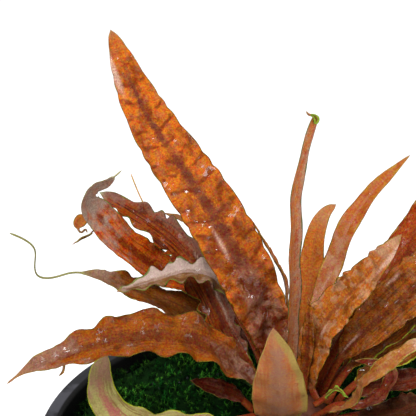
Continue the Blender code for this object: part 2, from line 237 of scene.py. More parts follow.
SEEN_LEAVES = (
    Leaf("leaf_tall", 142, ((4, 14), (10, 30), (24.8, 50.7, 0.1), (45, 71.9, 0.3), (54.9, 89.1)),
         14, (215, 25), "marbled", belly=0.4, stalk=0.08, roll=(-30, -42), fold=8, wave=0.4,
         waves=9, frill=0.03, frills=17, crumple=0.4, blisters=0.35, taper=1.05, base_crumple=2.2,
         gleams=((90, 2.9, 6, 0.9), (41.5, 2.0, 4, 0.5))),
    Leaf("leaf_crinkled", 160, ((9, 15.5, -3), (16, 27.5, -4), (22, 34.5, -4.5), (28, 35.3, -3.3),
         (34, 33.5, -1), (42.5, 32, 6)), 6.5, (155, 30), "pale", roll=(-15, -20), wave=1.2,
         waves=11, frill=0.22, frills=11, stalk=0.42),
    Leaf("leaf_edge_on", 110, ((9.5, 24.9, -2.2), (14, 31.7, -3.4), (17, 38.2, -1),
         (22, 45.9, 2.4)), 3.5, (105, 34), "olive", roll=(60, 60), wave=0.2, frill=0),
    Leaf("leaf_behind_tall", 130, ((16, 22, -4), (28, 31, -4), (37, 37.8, -2.8), (46, 40.6, 2)),
         5, (92, 54), "amber", wave=0.3),
    Leaf("leaf_needle", 133, ((17, 19, -3.6), (36, 25.5, -4.2), (46.5, 30, -4.4), (56, 38, -3),
         (61.5, 45.5, -3)), 4, (114, 56), "golden", roll=(0, 60), wave=0.2, tail=0.25, frill=0),
    Leaf("leaf_ruffled", 143, ((7, 9, 1.5), (17.7, 19.8, 1.5), (23.6, 26.9, 0.2), (33, 34, -3.2),
         (47.6, 38, -6.6), (61.6, 43.7, -3)), 8.3, (141, 52), "wine", stalk=0.12, roll=(-20, -30),
         wave=1.3, waves=7, frill=0.2, frills=12, belly=0.46, taper=1.1, sharp=1.4,
         gleams=((30, -1.6, 12, 0.3),)),
    Leaf("leaf_hooked", 148, ((13.3, 17.4, -3.8), (24.4, 24.4, -6.8), (37.1, 25.8, -8),
         (49.6, 39.8, 2.2), (53.6, 44.8, 4), (54.6, 48.5, 6), (53.3, 52.1, 4.6),
         (51.2, 53.3, 2.6), (48.2, 56.2, -0.1)), 9.4, (127, 80), "faded", roll=(-5, -60),
         tail=0.03, belly=0.5, frill=0.03, taper=0.9, gleams=((52, 3.5, 8, 0.2),)),
    Leaf("leaf_tailed", 152, ((8.5, 6.5, -0.5), (16, 12, -3.5), (28, 17.5, -6), (38.9, 21.9, -5),
         (49.7, 29.6, 3.5), (56.8, 31.2, 7.7), (60.6, 30.2, 10.4), (63, 30.9, 12.2),
         (63.4, 35, 12.9), (63.3, 39, 13.2), (65, 41.3, 14.4), (68.1, 43.4, 16.5)), 9.4,
         (157, 84), "dusky", stalk=0.1, roll=(-40, -50), wave=1.0, belly=0.4, tail=0.3,
         frill=0.12, frills=9),
    Leaf("leaf_arched", 190, ((7, 10), (13, 17), (20, 24), (30, 28), (39, 28.6), (55.2, 24.9),
         (63.4, 22.1), (67.8, 18.9)), 12, (190, 52), "rust", stalk=0.08, roll=(-30, -30),
         wave=1.3, waves=7.9, frills=9, crumple=0.6, taper=1.6, tail=0.03),
    Leaf("leaf_green_strap", 170, ((8.5, 7, -1), (15.5, 11.5, -2.5), (19.5, 14, -4.5)), 2.6,
         (170, 74), "green"),
    Leaf("leaf_low_red", 175, ((12.5, 7), (18.5, 9.5), (24.5, 11.5)), 5.5, (176, 84), "ruby",
         roll=(-20, -20), wave=0.3),
    Leaf("leaf_inside_rim", 195, ((14.1, 4.9, 1.4), (30.2, 5, 2), (39.6, 6.1, -1.3),
         (43.8, 9.9, -5), (45.1, 13.9, -7.5), (44.4, 17.1, -9.4), (42.6, 20.2, -10.6)), 8.8,
         (197, 82), "blush", roll=(-10, -70), wave=0.8, frill=0.08, frills=4, taper=0.8),
    Leaf("leaf_upright", 90, ((-1, 17, 0.7), (-1.6, 35.5, 0.6), (-2, 45.7, 0.8), (-2, 55.2, 0.7),
         (-2, 62, 0.8), (-1.6, 71.8, -0.7), (-1, 81.5, -3.1)), 6.4, (280, 10), "copper",
         roll=(60, 60), wave=0.2, stalk=0.06, crumple=0.08, taper=0.25, frill=0),
    Leaf("leaf_short_back", 70, ((10, 22.6, -0.3), (16.4, 34.8, 0.7), (19.3, 44, 0.4),
         (21.9, 47.9, -1.1), (24, 49, -2.7)), 6.3, (78, 32), "amber", wave=0.3, taper=1,
         frill=0.01, crumple=0.15),
    Leaf("leaf_dark_back", 80, ((1, 15, -2.8), (2, 23, -3.3), (3, 34, -3)), 3, (330, 16),
         "umber"),
    Leaf("leaf_curving", 45, ((10, 28, 1.8), (16.1, 35.8, 2.7), (20.6, 44, 2.6),
         (27.1, 50.9, 1.9), (38.3, 60.1, -1.8)), 5.2, (40, 26), "salmon", roll=(20, 20),
         frill=0.01, crumple=0.15),
    Leaf("leaf_high_right", 35, ((16, 21), (27.9, 33.2), (40.4, 45.3), (47.9, 53, -1.5),
         (64, 64, -4)), 9, (40, 52), "ember", roll=(20, 20), frill=0.02),
    Leaf("leaf_bright", 5, ((4.3, 11.5), (4.6, 18.5, 0.8), (6.6, 24.9, 1.8), (10.7, 31.3, 2.2),
         (15.5, 37.2, 1.8), (24.9, 50.3, 1)), 10.2, (-12, 40), "bright", roll=(45, 50), fold=8,
         crumple=0.5, blisters=0.4, taper=1.15, stalk=0.06, belly=0.38, base_crumple=0.9,
         gleams=((45, -1.8, 7, 0.7), (19, -1.2, 2, 0.35))),
    Leaf("leaf_broad_dark", 15, ((13, 19, -0.5), (22, 27), (31, 34, 1), (48, 45, 2.5),
         (66, 52, 3)), 13, (20, 52), "umber", stalk=0.15, roll=(35, 35), crumple=0.45,
         blisters=0.6, gleams=((33, 4.6, 2.5, 0.3), (16, 0.5, 3, 0.25))),
    Leaf("leaf_green_edged", 12, ((14, 13.5, 1), (21, 18, 2.5), (28, 22.5, 4), (40, 28.5, 5),
         (50, 32, 5)), 7, (0, 62), "edged", roll=(30, 30)),
    Leaf("leaf_right_middle", 8, ((12.5, 8.5, -1), (18, 12.5), (26, 17, 1), (40, 22, 2),
         (50, 23, 2)), 8, (2, 84), "edged", roll=(20, 20), frill=0.1),
    Leaf("leaf_right_low", 2, ((15, 7.5), (24, 11), (31, 12.5), (50, 13)), 8, (-21, 83), "ruby",
         roll=(10, 10)),
    Leaf("leaf_right_dark", -12, ((14, 5.5, -1.5), (25, 8.5, -2), (32, 11, -2), (50, 14, -2)), 9,
         (-38, 83), "shade", roll=(10, 10)),
    Leaf("leaf_twisted", -30, ((10.6, 9.2, -3.1), (16.4, 12.8, -5), (19.6, 16.5, -5.4),
         (20.8, 20.3, -6.2), (23.7, 24.6, -6.7), (28.1, 29.5, -6), (33.1, 34.4, -4), (43, 37.8)),
         3.8, (-54, 58), "ribbon", roll=(0, 100), waves=4, frill=0.12, frills=7,
         stalk=0.12, crumple=0.6),
    Leaf("leaf_curled_back", -8, ((11, 9, -3.5), (17.5, 10, -4), (22, 13.5, -3),
         (23.5, 16.5, -0.5), (20, 18, 1.5), (14.5, 18.5, 1.5)), 4, (-27, 62), "ruby",
         roll=(0, 40)),
    Leaf("leaf_new_curl", -20, ((7.1, 8.7, -0.4), (9.6, 11.4, 0.2), (11, 12.4, 0.4),
         (12.5, 11.3, 0.5), (13.9, 10.4, 0.6)), 1.8, (-32, 40), "lime", stalk=0.35, wave=0.2,
         frill=0.15, frills=5),
    Leaf("leaf_front", 268, ((13, 8.5, -2.5), (21, 16, -3), (29, 29, -3.5), (33, 39, -4),
         (35, 47, -5)), 13, (260, 76), "blush_orange", belly=0.36, stalk=0.12, frill=0,
         crumple=0.15),
)

# Low leaves that make the rosette whole where the picture doesn't show it
HIDDEN_LEAVES = (
    Leaf("leaf_front_left", 238, ((12, 6), (28, 10), (46, 8)), 9, (238, 82), "rust"),
    Leaf("leaf_left_front", 215, ((14, 5), (32, 7), (50, 11)), 9, (217, 84), "blush"),
    Leaf("leaf_front_low", 287, ((12, 7), (30, 12), (50, 8)), 9, (284, 82), "marbled"),
    Leaf("leaf_front_right", 318, ((12, 6), (30, 9), (54, 15)), 9, (306, 82), "umber"),
    Leaf("leaf_back_left", 113, ((12, 9), (27, 13), (43, 9)), 9, (113, 82), "wine"),
    Leaf("leaf_back", 92, ((12, 10), (28, 15), (46, 9)), 9, (91, 82), "rust"),
    Leaf("leaf_back_right", 60, ((13, 11), (30, 16), (50, 11)), 9, (64, 82), "umber"),
    Leaf("leaf_right_back", 36, ((14, 9), (34, 14), (54, 16)), 9, (36, 82), "edged"),
)

# Small lobes, threads and stubs on a leaf's side; the first point of each lies in that leaf
SPROUTS = (
    Leaf("hooked_lobe", 148, ((56.9, 42.7, 2.5), (58, 41.6, 3.8), (58.4, 39.9, 4.7),
         (57.7, 38.7, 4.2), (56.9, 39.5, 3.7), (56.5, 38.5, 3.5)), 3.4, None, "amber",
         roll=(-70, -90), stalk=0.05, tail=0.45, wave=0.1, frill=0, grows_on="leaf_hooked"),
    Leaf("hooked_thread", 148, ((55.4, 39.1, 2.2), (56.6, 37.8, 3.5), (57.8, 37.1, 4.9),
         (59.2, 35.7, 6.3)), 1.5, None, "rust", stalk=0.1, tail=0.15, wave=0, frill=0,
         grows_on="leaf_hooked"),
    Leaf("arched_stub", 190, ((54.3, 23.3, 0.2), (54.6, 22, 0.3), (55, 20.8, 0.4),
         (55.7, 20.1, 0.5)), 1.1, None, "golden", stalk=0.02, taper=0.2, wave=0, frill=0,
         grows_on="leaf_arched"),
    Leaf("upright_hook", 90, ((-1, 79.8, -3.7), (-1.1, 81.3, -3.9), (-1.2, 81.9, -3.2),
         (-1.3, 82.2, -2.3), (-1.4, 83.1, -1.6)), 1.4, None, "lime", stalk=0.02, tail=0.3,
         wave=0, frill=0, grows_on="leaf_upright"),
)


@dataclass
class Skin:
    """Colours of a leaf's skin and how its markings are shared out; widths in millimetres."""
    bright: tuple
    deep: tuple
    rib: tuple
    # Film: a pale mauve-grey that paints sheen on the skin, and tints the paler underside
    film: tuple
    margin: tuple = (0.17, 0.12, 0.010)
    stalk: tuple = (0.155, 0.026, 0.005)
    tail: tuple = (0.22, 0.10, 0.04)
    stripes: float = 0.0
    streaks: float = 0.4
    # Shares of the film's painted sheen: in spots, at the tip and at the base; film_side puts it
    # along one side
    film_share: float = 0.3
    film_tip: float = 0.0
    film_base: float = 0.0
    rib_width: float = 0.8
    margin_width: float = 0.22
    margin_lean: float = 0.0
    ragged: float = 1.0
    film_side: float = 0.0
    # Shade: how much painted shade darkens the leaf towards its base
    shade: float = 0.0
    grain: float = 1.0
    wet: float = 0.5
    mottled: float = 0.0


# Kind and default of the group socket for each kind of field
SKIN_SOCKETS = {tuple: ("Color", (0.5, 0.5, 0.5, 1)), float: ("Float", 0.5)}

SKINS = {
    "marbled": Skin((0.39, 0.092, 0.005), (0.115, 0.017, 0.001), (0.10, 0.022, 0.010),
                    (0.200, 0.080, 0.046), margin=(0.20, 0.12, 0.008), stripes=0.85,
                    streaks=0.12, film_base=0.42, rib_width=1.9, shade=0.14,
                    grain=0.7, wet=0.95, mottled=0.055),
    "bright": Skin((0.33, 0.088, 0.008), (0.11, 0.028, 0.003), (0.20, 0.05, 0.012),
                   (0.34, 0.185, 0.100), stripes=0.5, streaks=0.25, film_share=0.6,
                   film_tip=0.2, film_base=0.15, grain=0.6, wet=0.8),
    "amber": Skin((0.32, 0.086, 0.010), (0.21, 0.042, 0.003), (0.25, 0.07, 0.014),
                  (0.27, 0.115, 0.045), streaks=0.3, film_share=0.35, film_tip=0.22, grain=0.5,
                  wet=0.2),
    "ember": Skin((0.21, 0.030, 0.001), (0.085, 0.008, 0.000), (0.15, 0.025, 0.003),
                  (0.22, 0.06, 0.012), margin=(0.30, 0.15, 0.02), margin_width=0.4, wet=0.2),
    "golden": Skin((0.44, 0.19, 0.03), (0.24, 0.06, 0.008), (0.30, 0.09, 0.015),
                   (0.50, 0.32, 0.12), tail=(0.42, 0.22, 0.06), streaks=0.3),
    "olive": Skin((0.30, 0.080, 0.008), (0.12, 0.028, 0.003), (0.20, 0.05, 0.006),
                  (0.26, 0.10, 0.03), tail=(0.26, 0.08, 0.010), grain=0.6, film_share=0.1),
    "copper": Skin((0.42, 0.130, 0.022), (0.29, 0.045, 0.004), (0.33, 0.13, 0.06),
                   (0.35, 0.200, 0.135), margin=(0.10, 0.12, 0.035), film_share=0.6, streaks=0.9,
                   film_side=-0.3, margin_width=0.55, grain=0.6, shade=0.3, wet=0.3),
    "salmon": Skin((0.28, 0.073, 0.010), (0.20, 0.036, 0.003), (0.26, 0.09, 0.04),
                   (0.27, 0.120, 0.062), margin=(0.26, 0.12, 0.012),
                   film_base=0.70, streaks=0.3, grain=0.5, margin_width=0.5, wet=0.25),
    "ribbon": Skin((0.29, 0.118, 0.022), (0.18, 0.034, 0.003), (0.26, 0.09, 0.03),
                   (0.37, 0.22, 0.13), margin=(0.24, 0.22, 0.03), film_share=0.4,
                   film_tip=0.35, streaks=0.7, stripes=0.5, grain=0.4, shade=0.15, wet=0.8),
    "rust": Skin((0.190, 0.043, 0.001), (0.055, 0.009, 0.001), (0.080, 0.015, 0.003),
                 (0.180, 0.086, 0.055), streaks=0.45, film_share=0.15, film_tip=0.28,
                 film_base=0.34, rib_width=2.4, shade=0.05, grain=0.8),
    "faded": Skin((0.36, 0.060, 0.001), (0.14, 0.015, 0.000), (0.12, 0.016, 0.001),
                  (0.27, 0.195, 0.150), margin=(0.15, 0.17, 0.02), tail=(0.34, 0.30, 0.16),
                  streaks=0.8, film_share=0.06, film_tip=0.33, rib_width=1.8, grain=0.7, wet=0.3),
    "dusky": Skin((0.18, 0.046, 0.003), (0.065, 0.014, 0.001), (0.09, 0.028, 0.005),
                  (0.19, 0.110, 0.072), margin=(0.19, 0.17, 0.02), tail=(0.16, 0.15, 0.05),
                  streaks=0.7, film_share=0.15, film_tip=0.50, grain=0.7, wet=0.3),
    "wine": Skin((0.205, 0.036, 0.001), (0.045, 0.004, 0.000), (0.12, 0.022, 0.006),
                 (0.20, 0.095, 0.068), margin=(0.12, 0.12, 0.012), tail=(0.26, 0.30, 0.17),
                 streaks=0.9, film_share=0.10, film_tip=0.14, rib_width=0.6, margin_width=0.3,
                 film_side=-0.28, shade=0.35, grain=0.7, wet=0.35),
    "ruby": Skin((0.10, 0.013, 0.002), (0.03, 0.003, 0.001), (0.09, 0.014, 0.004),
                 (0.20, 0.085, 0.055), margin=(0.14, 0.11, 0.02), streaks=0.6, film_share=0.25,
                 wet=0.9),
    "umber": Skin((0.26, 0.066, 0.004), (0.064, 0.011, 0.001), (0.13, 0.025, 0.006),
                  (0.23, 0.100, 0.050), margin=(0.24, 0.09, 0.008), stripes=0.4, streaks=0.5,
                  film_share=0.45, shade=0.2, wet=0.8),
    "shade": Skin((0.055, 0.013, 0.003), (0.022, 0.006, 0.002), (0.06, 0.014, 0.005),
                  (0.10, 0.045, 0.025), margin=(0.20, 0.09, 0.03), streaks=0.5),
    "edged": Skin((0.19, 0.052, 0.004), (0.060, 0.014, 0.001), (0.13, 0.030, 0.006),
                  (0.20, 0.10, 0.05), margin=(0.26, 0.29, 0.02), streaks=0.7,
                  margin_width=0.4, wet=0.8),
    "blush": Skin((0.27, 0.235, 0.078), (0.15, 0.085, 0.025), (0.26, 0.085, 0.062),
                  (0.29, 0.160, 0.100), margin=(0.32, 0.36, 0.02), streaks=0.8, film_share=0.2,
                  film_tip=0.2, rib_width=2.6, margin_width=0.3, ragged=0.5, grain=0.4, wet=0.1),
    "blush_orange": Skin((0.39, 0.140, 0.028), (0.33, 0.070, 0.009), (0.25, 0.110, 0.072),
                         (0.31, 0.155, 0.080), margin=(0.27, 0.21, 0.04), streaks=0.9,
                         film_share=0.45, rib_width=4.2, margin_width=0.9, margin_lean=0.75,
                         ragged=0.2, grain=0.2, wet=0.05),
    "pale": Skin((0.150, 0.065, 0.020), (0.07, 0.025, 0.006), (0.25, 0.165, 0.135),
                 (0.36, 0.265, 0.230), margin=(0.10, 0.12, 0.015), streaks=0.8,
                 film_share=0.2, margin_width=0.5, film_side=-1.0, grain=0.5),
    "green": Skin((0.012, 0.045, 0.008), (0.006, 0.020, 0.004), (0.02, 0.05, 0.01),
                  (0.05, 0.09, 0.03), margin=(0.05, 0.10, 0.01)),
    "lime": Skin((0.09, 0.050, 0.006), (0.08, 0.015, 0.002), (0.11, 0.06, 0.008),
                 (0.16, 0.15, 0.03), margin=(0.17, 0.25, 0.022), margin_width=0.5, ragged=0,
                 streaks=0.8),
}


class Wire:
    """A socket in a node tree; arithmetic on it adds a math node and gives that node's result."""

    def __init__(self, tree, socket):
        self.tree = tree
        self.socket = socket

    def __add__(self, other):
        return self.tree.math("ADD", self, other)

    def __sub__(self, other):
        return self.tree.math("SUBTRACT", self, other)

    def __rsub__(self, other):
        return self.tree.math("SUBTRACT", other, self)

    def __mul__(self, other):
        return self.tree.math("MULTIPLY", self, other)

    def __truediv__(self, other):
        return self.tree.math("DIVIDE", self, other)

    def __abs__(self):
        return self.tree.math("ABSOLUTE", self)


class Outputs:
    """A node's output sockets, by name or number."""

    def __init__(self, tree, sockets):
        self.tree = tree
        self.sockets = sockets

    def __getitem__(self, key):
        return Wire(self.tree, self.sockets[key])


class Tree:
    """A node tree being written: makes nodes, feeds their sockets and joins them."""

    def __init__(self, tree):
        self.tree = tree

    def node(self, kind, inputs=None, **settings):
        made = self.tree.nodes.new(kind)
        for name, value in settings.items():
            setattr(made, name, value)
        for name, value in (inputs or {}).items():
            if isinstance(value, Wire):
                self.tree.links.new(value.socket, made.inputs[name])
            else:
                made.inputs[name].default_value = value
        return Outputs(self, made.outputs)

    def math(self, operation, first, second=0.0):
        return self.node("ShaderNodeMath", {0: first, 1: second}, operation=operation)[0]

    def scaled(self, vector, factors):
        inputs = {0: vector, 1: factors}
        return self.node("ShaderNodeVectorMath", inputs, operation="MULTIPLY")[0]

    def split(self, vector):
        return self.node("ShaderNodeSeparateXYZ", {0: vector})

    def ramp(self, value, low, high, start=0.0, end=1.0):
        """A smooth step from start to end as the value goes from low to high."""
        inputs = {"Value": value, "From Min": low, "From Max": high, "To Min": start,
                  "To Max": end}
        return self.node("ShaderNodeMapRange", inputs, interpolation_type="SMOOTHSTEP")["Result"]

    def noise(self, vector, scale, detail=2.0, roughness=0.5):
        inputs = {"Vector": vector, "Scale": scale, "Detail": detail, "Roughness": roughness}
        return self.node("ShaderNodeTexNoise", inputs)["Fac"]

    def cells(self, vector, scale, randomness=1.0):
        """Distance from a cell's middle, and a number drawn for that cell."""
        inputs = {"Vector": vector, "Scale": scale, "Randomness": randomness}
        found = self.node("ShaderNodeTexVoronoi", inputs)
        return found["Distance"], self.split(found["Color"])["X"]

    def mix(self, factor, first, second):
        return self.node("ShaderNodeMix", {0: factor, 6: first, 7: second}, data_type="RGBA")[2]

    def tinted(self, colour, hue, value):
        inputs = {"Hue": hue, "Value": value, "Color": colour}
        return self.node("ShaderNodeHueSaturation", inputs)[0]

    def attribute(self, name, output="Fac"):
        """An attribute of the mesh in a material or a shader group."""
        return self.node("ShaderNodeAttribute", attribute_name=name)[output]

    def place(self):
        return self.node("ShaderNodeTexCoord")["Object"]

    def radius(self, place):
        """Distance of a place from the upright axis through the pot."""
        inputs = {0: self.scaled(place, (1, 1, 0))}
        return self.node("ShaderNodeVectorMath", inputs, operation="LENGTH")["Value"]

    def bump(self, height, distance):
        inputs = {"Height": height, "Strength": 0.6, "Distance": distance}
        return self.node("ShaderNodeBump", inputs)["Normal"]

    def named(self, name, kind="FLOAT"):
        """An attribute of the mesh in a geometry tree."""
        node = "GeometryNodeInputNamedAttribute"
        return self.node(node, {"Name": name}, data_type=kind)["Attribute"]

    def random(self, kind, low, high, seed):
        """A random value for each point; the node has its sockets in the order of the kinds."""
        first = ("FLOAT_VECTOR", "FLOAT", "INT").index(kind)
        inputs = {2 * first: low, 2 * first + 1: high, "Seed": seed}
        return self.node("FunctionNodeRandomValue", inputs, data_type=kind)[first]

    def end(self, geometry, material):
        """Ends a geometry tree with real meshes that have their material."""
        real = self.node("GeometryNodeRealizeInstances", {"Geometry": geometry})[0]
        done = self.node("GeometryNodeSetMaterial", {"Geometry": real, "Material": material})[0]
        self.node("NodeGroupOutput", {"Mesh": done})


def new_tree(name, kind, inputs, outputs):
    """An empty node group with named sockets, each input a (name, type, default) triple."""
    tree = bpy.data.node_groups.new(name, kind)
    for label, socket, default in inputs:
        made = tree.interface.new_socket(label, in_out="INPUT", socket_type="NodeSocket" + socket)
        if default is not None:
            made.default_value = default
    for label, socket in outputs:
        tree.interface.new_socket(label, in_out="OUTPUT", socket_type="NodeSocket" + socket)
    return tree, Tree(tree)


def opaque(colour):
    return (*colour, 1.0)


def socket_label(name):
    return name.replace("_", " ").title().replace("Ior", "IOR")


class SkinNodes:
    """The nodes of a leaf's skin, one kind of marking to a method.

    They read what leaf_sections stores: the place on the leaf laid flat, in millimetres, the
    share of its length, and the distance from its edge.
    """

    def __init__(self, t):
        self.t = t
        self.given = t.node("NodeGroupInput")
        self.flat = t.attribute("flat", "Vector")
        self.along = t.attribute("along")
        self.edge = t.attribute("edge")
        place = t.split(self.flat)
        self.across = place["X"]
        self.off_rib = abs(self.across)
        self.cloud = t.noise(t.scaled(self.flat, (1, 0.7, 1)), 0.30, 3, 0.6)
        self.patch = t.noise(self.flat, 0.95, 4, 0.65)
        self.calm = t.noise(t.scaled(self.flat, (1, 0.8, -1)), 0.5, 3, 0.6)
        self.fine = t.noise(self.flat, 2.6, 3, 0.7)
        self.uneven = self.patch - 0.5
        self.drift = self.along + (self.cloud - 0.5) * 0.5
        # Where the base's film paints sheen
        from_base = self.given["Film Base"] - self.drift - t.ramp(self.off_rib, 1.5, 6.0, 0, 0.2)
        self.filmed_base = t.ramp(from_base, 0, FILM_END)
        sway = (t.noise(self.flat, 0.2, 2) - 0.5) * 4.0
        phase = place["Y"] - self.off_rib * 0.4 + sway
        self.wave = t.math("SINE", phase * (FULL_TURN / BAND_PITCH))

    def ground(self):
        """Bright skin with deep clouds, spots of film that paint sheen, and deep streaks along the
        leaf.
        """
        t, given = self.t, self.given
        clumps = self.cloud + t.ramp(self.along, 0.4, 0.8, 1, 0) * given["Mottled"]
        colour = t.mix(t.ramp(clumps, 0.46, 0.68, 0, 0.8), given["Bright"], given["Deep"])
        spots = t.noise(t.scaled(self.flat, (1, 0.8, 2)), 0.55, 3, 0.55)
        colour = t.mix(t.ramp(spots, 0.48, 0.60) * given["Film Share"], colour, given["Film"])
        streaks = t.noise(t.scaled(self.flat, (2.0, 0.09, 1)), 1.0, 3, 0.6)
        return t.mix(t.ramp(streaks, 0.47, 0.64) * given["Streaks"], colour, given["Deep"])

    def bands(self, colour):
        """Broken bands across the leaf with dashes between them, none of them at its tip."""
        t, given = self.t, self.given
        thin = t.ramp(self.wave + self.uneven * 1.1, 0.35, 1.05)
        broken = t.ramp(t.noise(self.flat, 0.36, 2), 0.42, 0.54, 0.05, 1)
        dashes = t.noise(t.scaled(self.flat, (0.4, 1.5, 1)), 1.0, 3, 0.6)
        band = t.math("MAXIMUM", thin * broken, t.ramp(dashes, 0.56, 0.68, 0, 0.5))
        near = t.ramp(self.edge, 0.1, 1.0, 0.4, 1) * t.ramp(self.along, *TIP_FADE, 1, 0.1)
        return t.mix(band * near * given["Stripes"], colour, given["Deep"])

    def rib(self, colour):
        """A ragged rib that comes and goes, with a knot where a band crosses it."""
        t, given = self.t, self.given
        half = given["Rib Width"] * t.ramp(self.along, 0.1, 0.98, 1.2, 0.35)
        ragged = self.off_rib / half + self.uneven * 2.2 + (self.cloud - 0.5) * 1.5
        present = t.ramp(t.noise(t.scaled(self.flat, (0.3, 1, 1)), 0.2, 2), 0.38, 0.56, 0.5, 0.95)
        present = present * t.ramp(self.along, *TIP_FADE, 1, 0.2)
        colour = t.mix(t.ramp(ragged, 0.3, 1.25, 1, 0) * present, colour, given["Rib"])
        knot = t.ramp(self.wave, 0.0, 0.9) * t.ramp(ragged, 0.1, 0.9, 0.8, 0) * present
        return t.mix(knot * given["Stripes"], colour, given["Deep"])

    def films(self, colour):
        """Painted sheen: pale film at the tip, at the base and along one side, with deep blotches
        at the base.
        """
        t, given = self.t, self.given
        from_tip = self.drift - 1.0 + given["Film Tip"]
        tip = t.ramp(from_tip, 0, FILM_END) * t.ramp(self.calm, 0.34, 0.62, 0.6, 0.95)
        base = self.filmed_base * t.ramp(self.calm, 0.38, 0.64, 0.2, 0.9)
        # Painted sheen along one side of the leaf
        facing = self.across * given["Film Side"] + self.uneven * 1.6
        side = t.ramp(facing, 0.0, 1.1) * t.math("MINIMUM", abs(given["Film Side"]) * 3.0, 0.85)
        film = t.math("MAXIMUM", t.math("MAXIMUM", base, tip), side)
        colour = t.mix(film, colour, given["Film"])
        blotches = t.ramp(self.calm, 0.54, 0.42, 0, given["Wet"]) * self.filmed_base
        return t.mix(blotches, colour, given["Deep"])

    def margin(self, colour):
        """A thin margin that varies in width and may be wider on one side."""
        t, given = self.t, self.given
        comes = t.ramp(t.noise(self.flat, 0.35, 2), 0.42, 0.58, -0.75, 0.2) * given["Ragged"] + 1.0
        side = t.math("SIGN", self.across) * given["Margin Lean"] + 1.0
        width = given["Margin Width"] * side * comes
        rim = t.ramp((self.edge + self.uneven * 0.5) / width, 0.7, 1.25, 0.9, 0)
        return t.mix(rim, colour, given["Margin"])

    def stalk_and_underside(self, colour):
        """The stalk's or the tail's colour off the blade, and a paler underside."""
        t, given = self.t, self.given
        thread = t.mix(t.math("GREATER_THAN", self.along, 0.5), given["Stalk"], given["Tail"])
        colour = t.mix(t.ramp(t.attribute("blade"), 0.05, 0.9, 1, 0), colour, thread)
        return t.mix(t.attribute("under"), colour, t.mix(0.3, colour, given["Film"]))

    def light_and_shade(self, colour):
        """Painted highlights on folds, speckles all over, and painted shade that darkens the base.
        """
        t, given = self.t, self.given
        # Painted highlight: the gleam colour laid on the folds
        gleam = t.attribute("gleam") * t.ramp(self.fine, 0.3, 0.6, 0.55, 1)
        colour = t.mix(gleam, colour, opaque(GLEAM))
        hue = t.ramp(t.noise(self.flat, 1.9, 3, 0.7), 0.3, 0.7, 0.478, 0.522)
        speckle = t.ramp(self.fine, 0.28, 0.72, -0.34, 0.34) * given["Grain"]
        # Painted shade: darker towards the base
        shade = t.ramp(self.along, 0.2, 0.8, 1, 0) * given["Shade"]
        return t.tinted(colour, hue, (speckle + 1.0) * (1.0 - shade))

    def wetness(self):
        """Wet patches, and a wet base where its film paints sheen."""
        t, given = self.t, self.given
        spots = t.ramp(t.noise(self.flat, 0.6, 3, 0.6), 0.54, 0.64) * given["Wet"]
        return t.math("MAXIMUM", spots, self.filmed_base * 0.8 * given["Wet"])

    def height(self, wet):
        """Grain, fine veins and beads, all of them higher where the skin is wet."""
        t = self.t
        distance, lottery = t.cells(self.flat, 0.9)
        bead = t.ramp(distance, 0.05, 0.42, 1, 0) * t.ramp(lottery, 0.55, 0.6)
        veins = t.math("SINE", self.across * 7.0)
        return (self.fine * 0.7 + veins * 0.05 + bead * 0.6) * (wet * 3.0 + 1.0)


def leaf_skin_group():
    """Colour, roughness, wetness and fine height of a leaf from its own attributes."""
    name = "leaf_skin"
    if name in bpy.data.node_groups:
        return bpy.data.node_groups[name]
    inputs = [(socket_label(field.name), *SKIN_SOCKETS[field.type]) for field in fields(Skin)]
    outputs = [("Color", "Color"), ("Roughness", "Float"), ("Wet", "Float"), ("Height", "Float")]
    tree, t = new_tree(name, "ShaderNodeTree", inputs, outputs)
    skin = SkinNodes(t)
    colour = skin.ground()
    for marking in (skin.bands, skin.rib, skin.films, skin.margin, skin.stalk_and_underside,
                    skin.light_and_shade):
        colour = marking(colour)
    wet = skin.wetness()
    t.node("NodeGroupOutput", {
        "Color": colour,
        "Roughness": t.ramp(skin.patch, 0.3, 0.7, 0.40, 0.62),
        "Wet": wet,
        "Height": skin.height(wet),
    })
    return tree


def mottle_group():
    """Two colours in clumps and grains, for soil, grit, moss, the crown and the pot."""
    name = "mottle"
    if name in bpy.data.node_groups:
        return bpy.data.node_groups[name]
    inputs = [("First", "Color", (0.5, 0.5, 0.5, 1)), ("Second", "Color", (0.1, 0.1, 0.1, 1)),
              ("Scale", "Float", 300.0), ("Balance", "Float", 0.5), ("Softness", "Float", 0.15)]
    outputs = [("Color", "Color"), ("Height", "Float")]
    tree, t = new_tree(name, "ShaderNodeTree", inputs, outputs)
    given = t.node("NodeGroupInput")
    place = t.place()
    clumps = t.noise(place, given["Scale"], 4, 0.6)
    grain = t.noise(place, given["Scale"] * 6.0, 2, 0.6)
    low = given["Balance"] - given["Softness"]
    high = given["Balance"] + given["Softness"]
    mask = t.ramp(clumps + grain * 0.15, low, high)
    t.node("NodeGroupOutput", {"Color": t.mix(mask, given["First"], given["Second"]),
                               "Height": clumps + grain * 0.3})
    return tree


def new_material(name, **constants):
    """A material with a Principled shader whose named sockets hold constants."""
    material = bpy.data.materials.new(name)
    material.use_nodes = True
    shader = material.node_tree.nodes["Principled BSDF"]
    for label, value in constants.items():
        shader.inputs[socket_label(label)].default_value = value
    return material, Tree(material.node_tree), shader


def feed(t, shader, **sockets):
    """Joins results to the shader's named sockets."""
    for label, value in sockets.items():
        t.tree.links.new(value.socket, shader.inputs[socket_label(label)])


def mottled(t, first, second, scale, balance=0.5, softness=0.15):
    """What the mottle group puts out for two colours."""
    inputs = {"First": opaque(first), "Second": opaque(second), "Scale": scale,
              "Balance": balance, "Softness": softness}
    return t.node("ShaderNodeGroup", inputs, node_tree=mottle_group())


def mottled_material(name, first, second, scale, balance=0.5, **constants):
    material, t, shader = new_material(name, **constants)
    shown = mottled(t, first, second, scale, balance)
    feed(t, shader, base_color=shown["Color"], normal=t.bump(shown["Height"], 0.3 * MM))
    return material


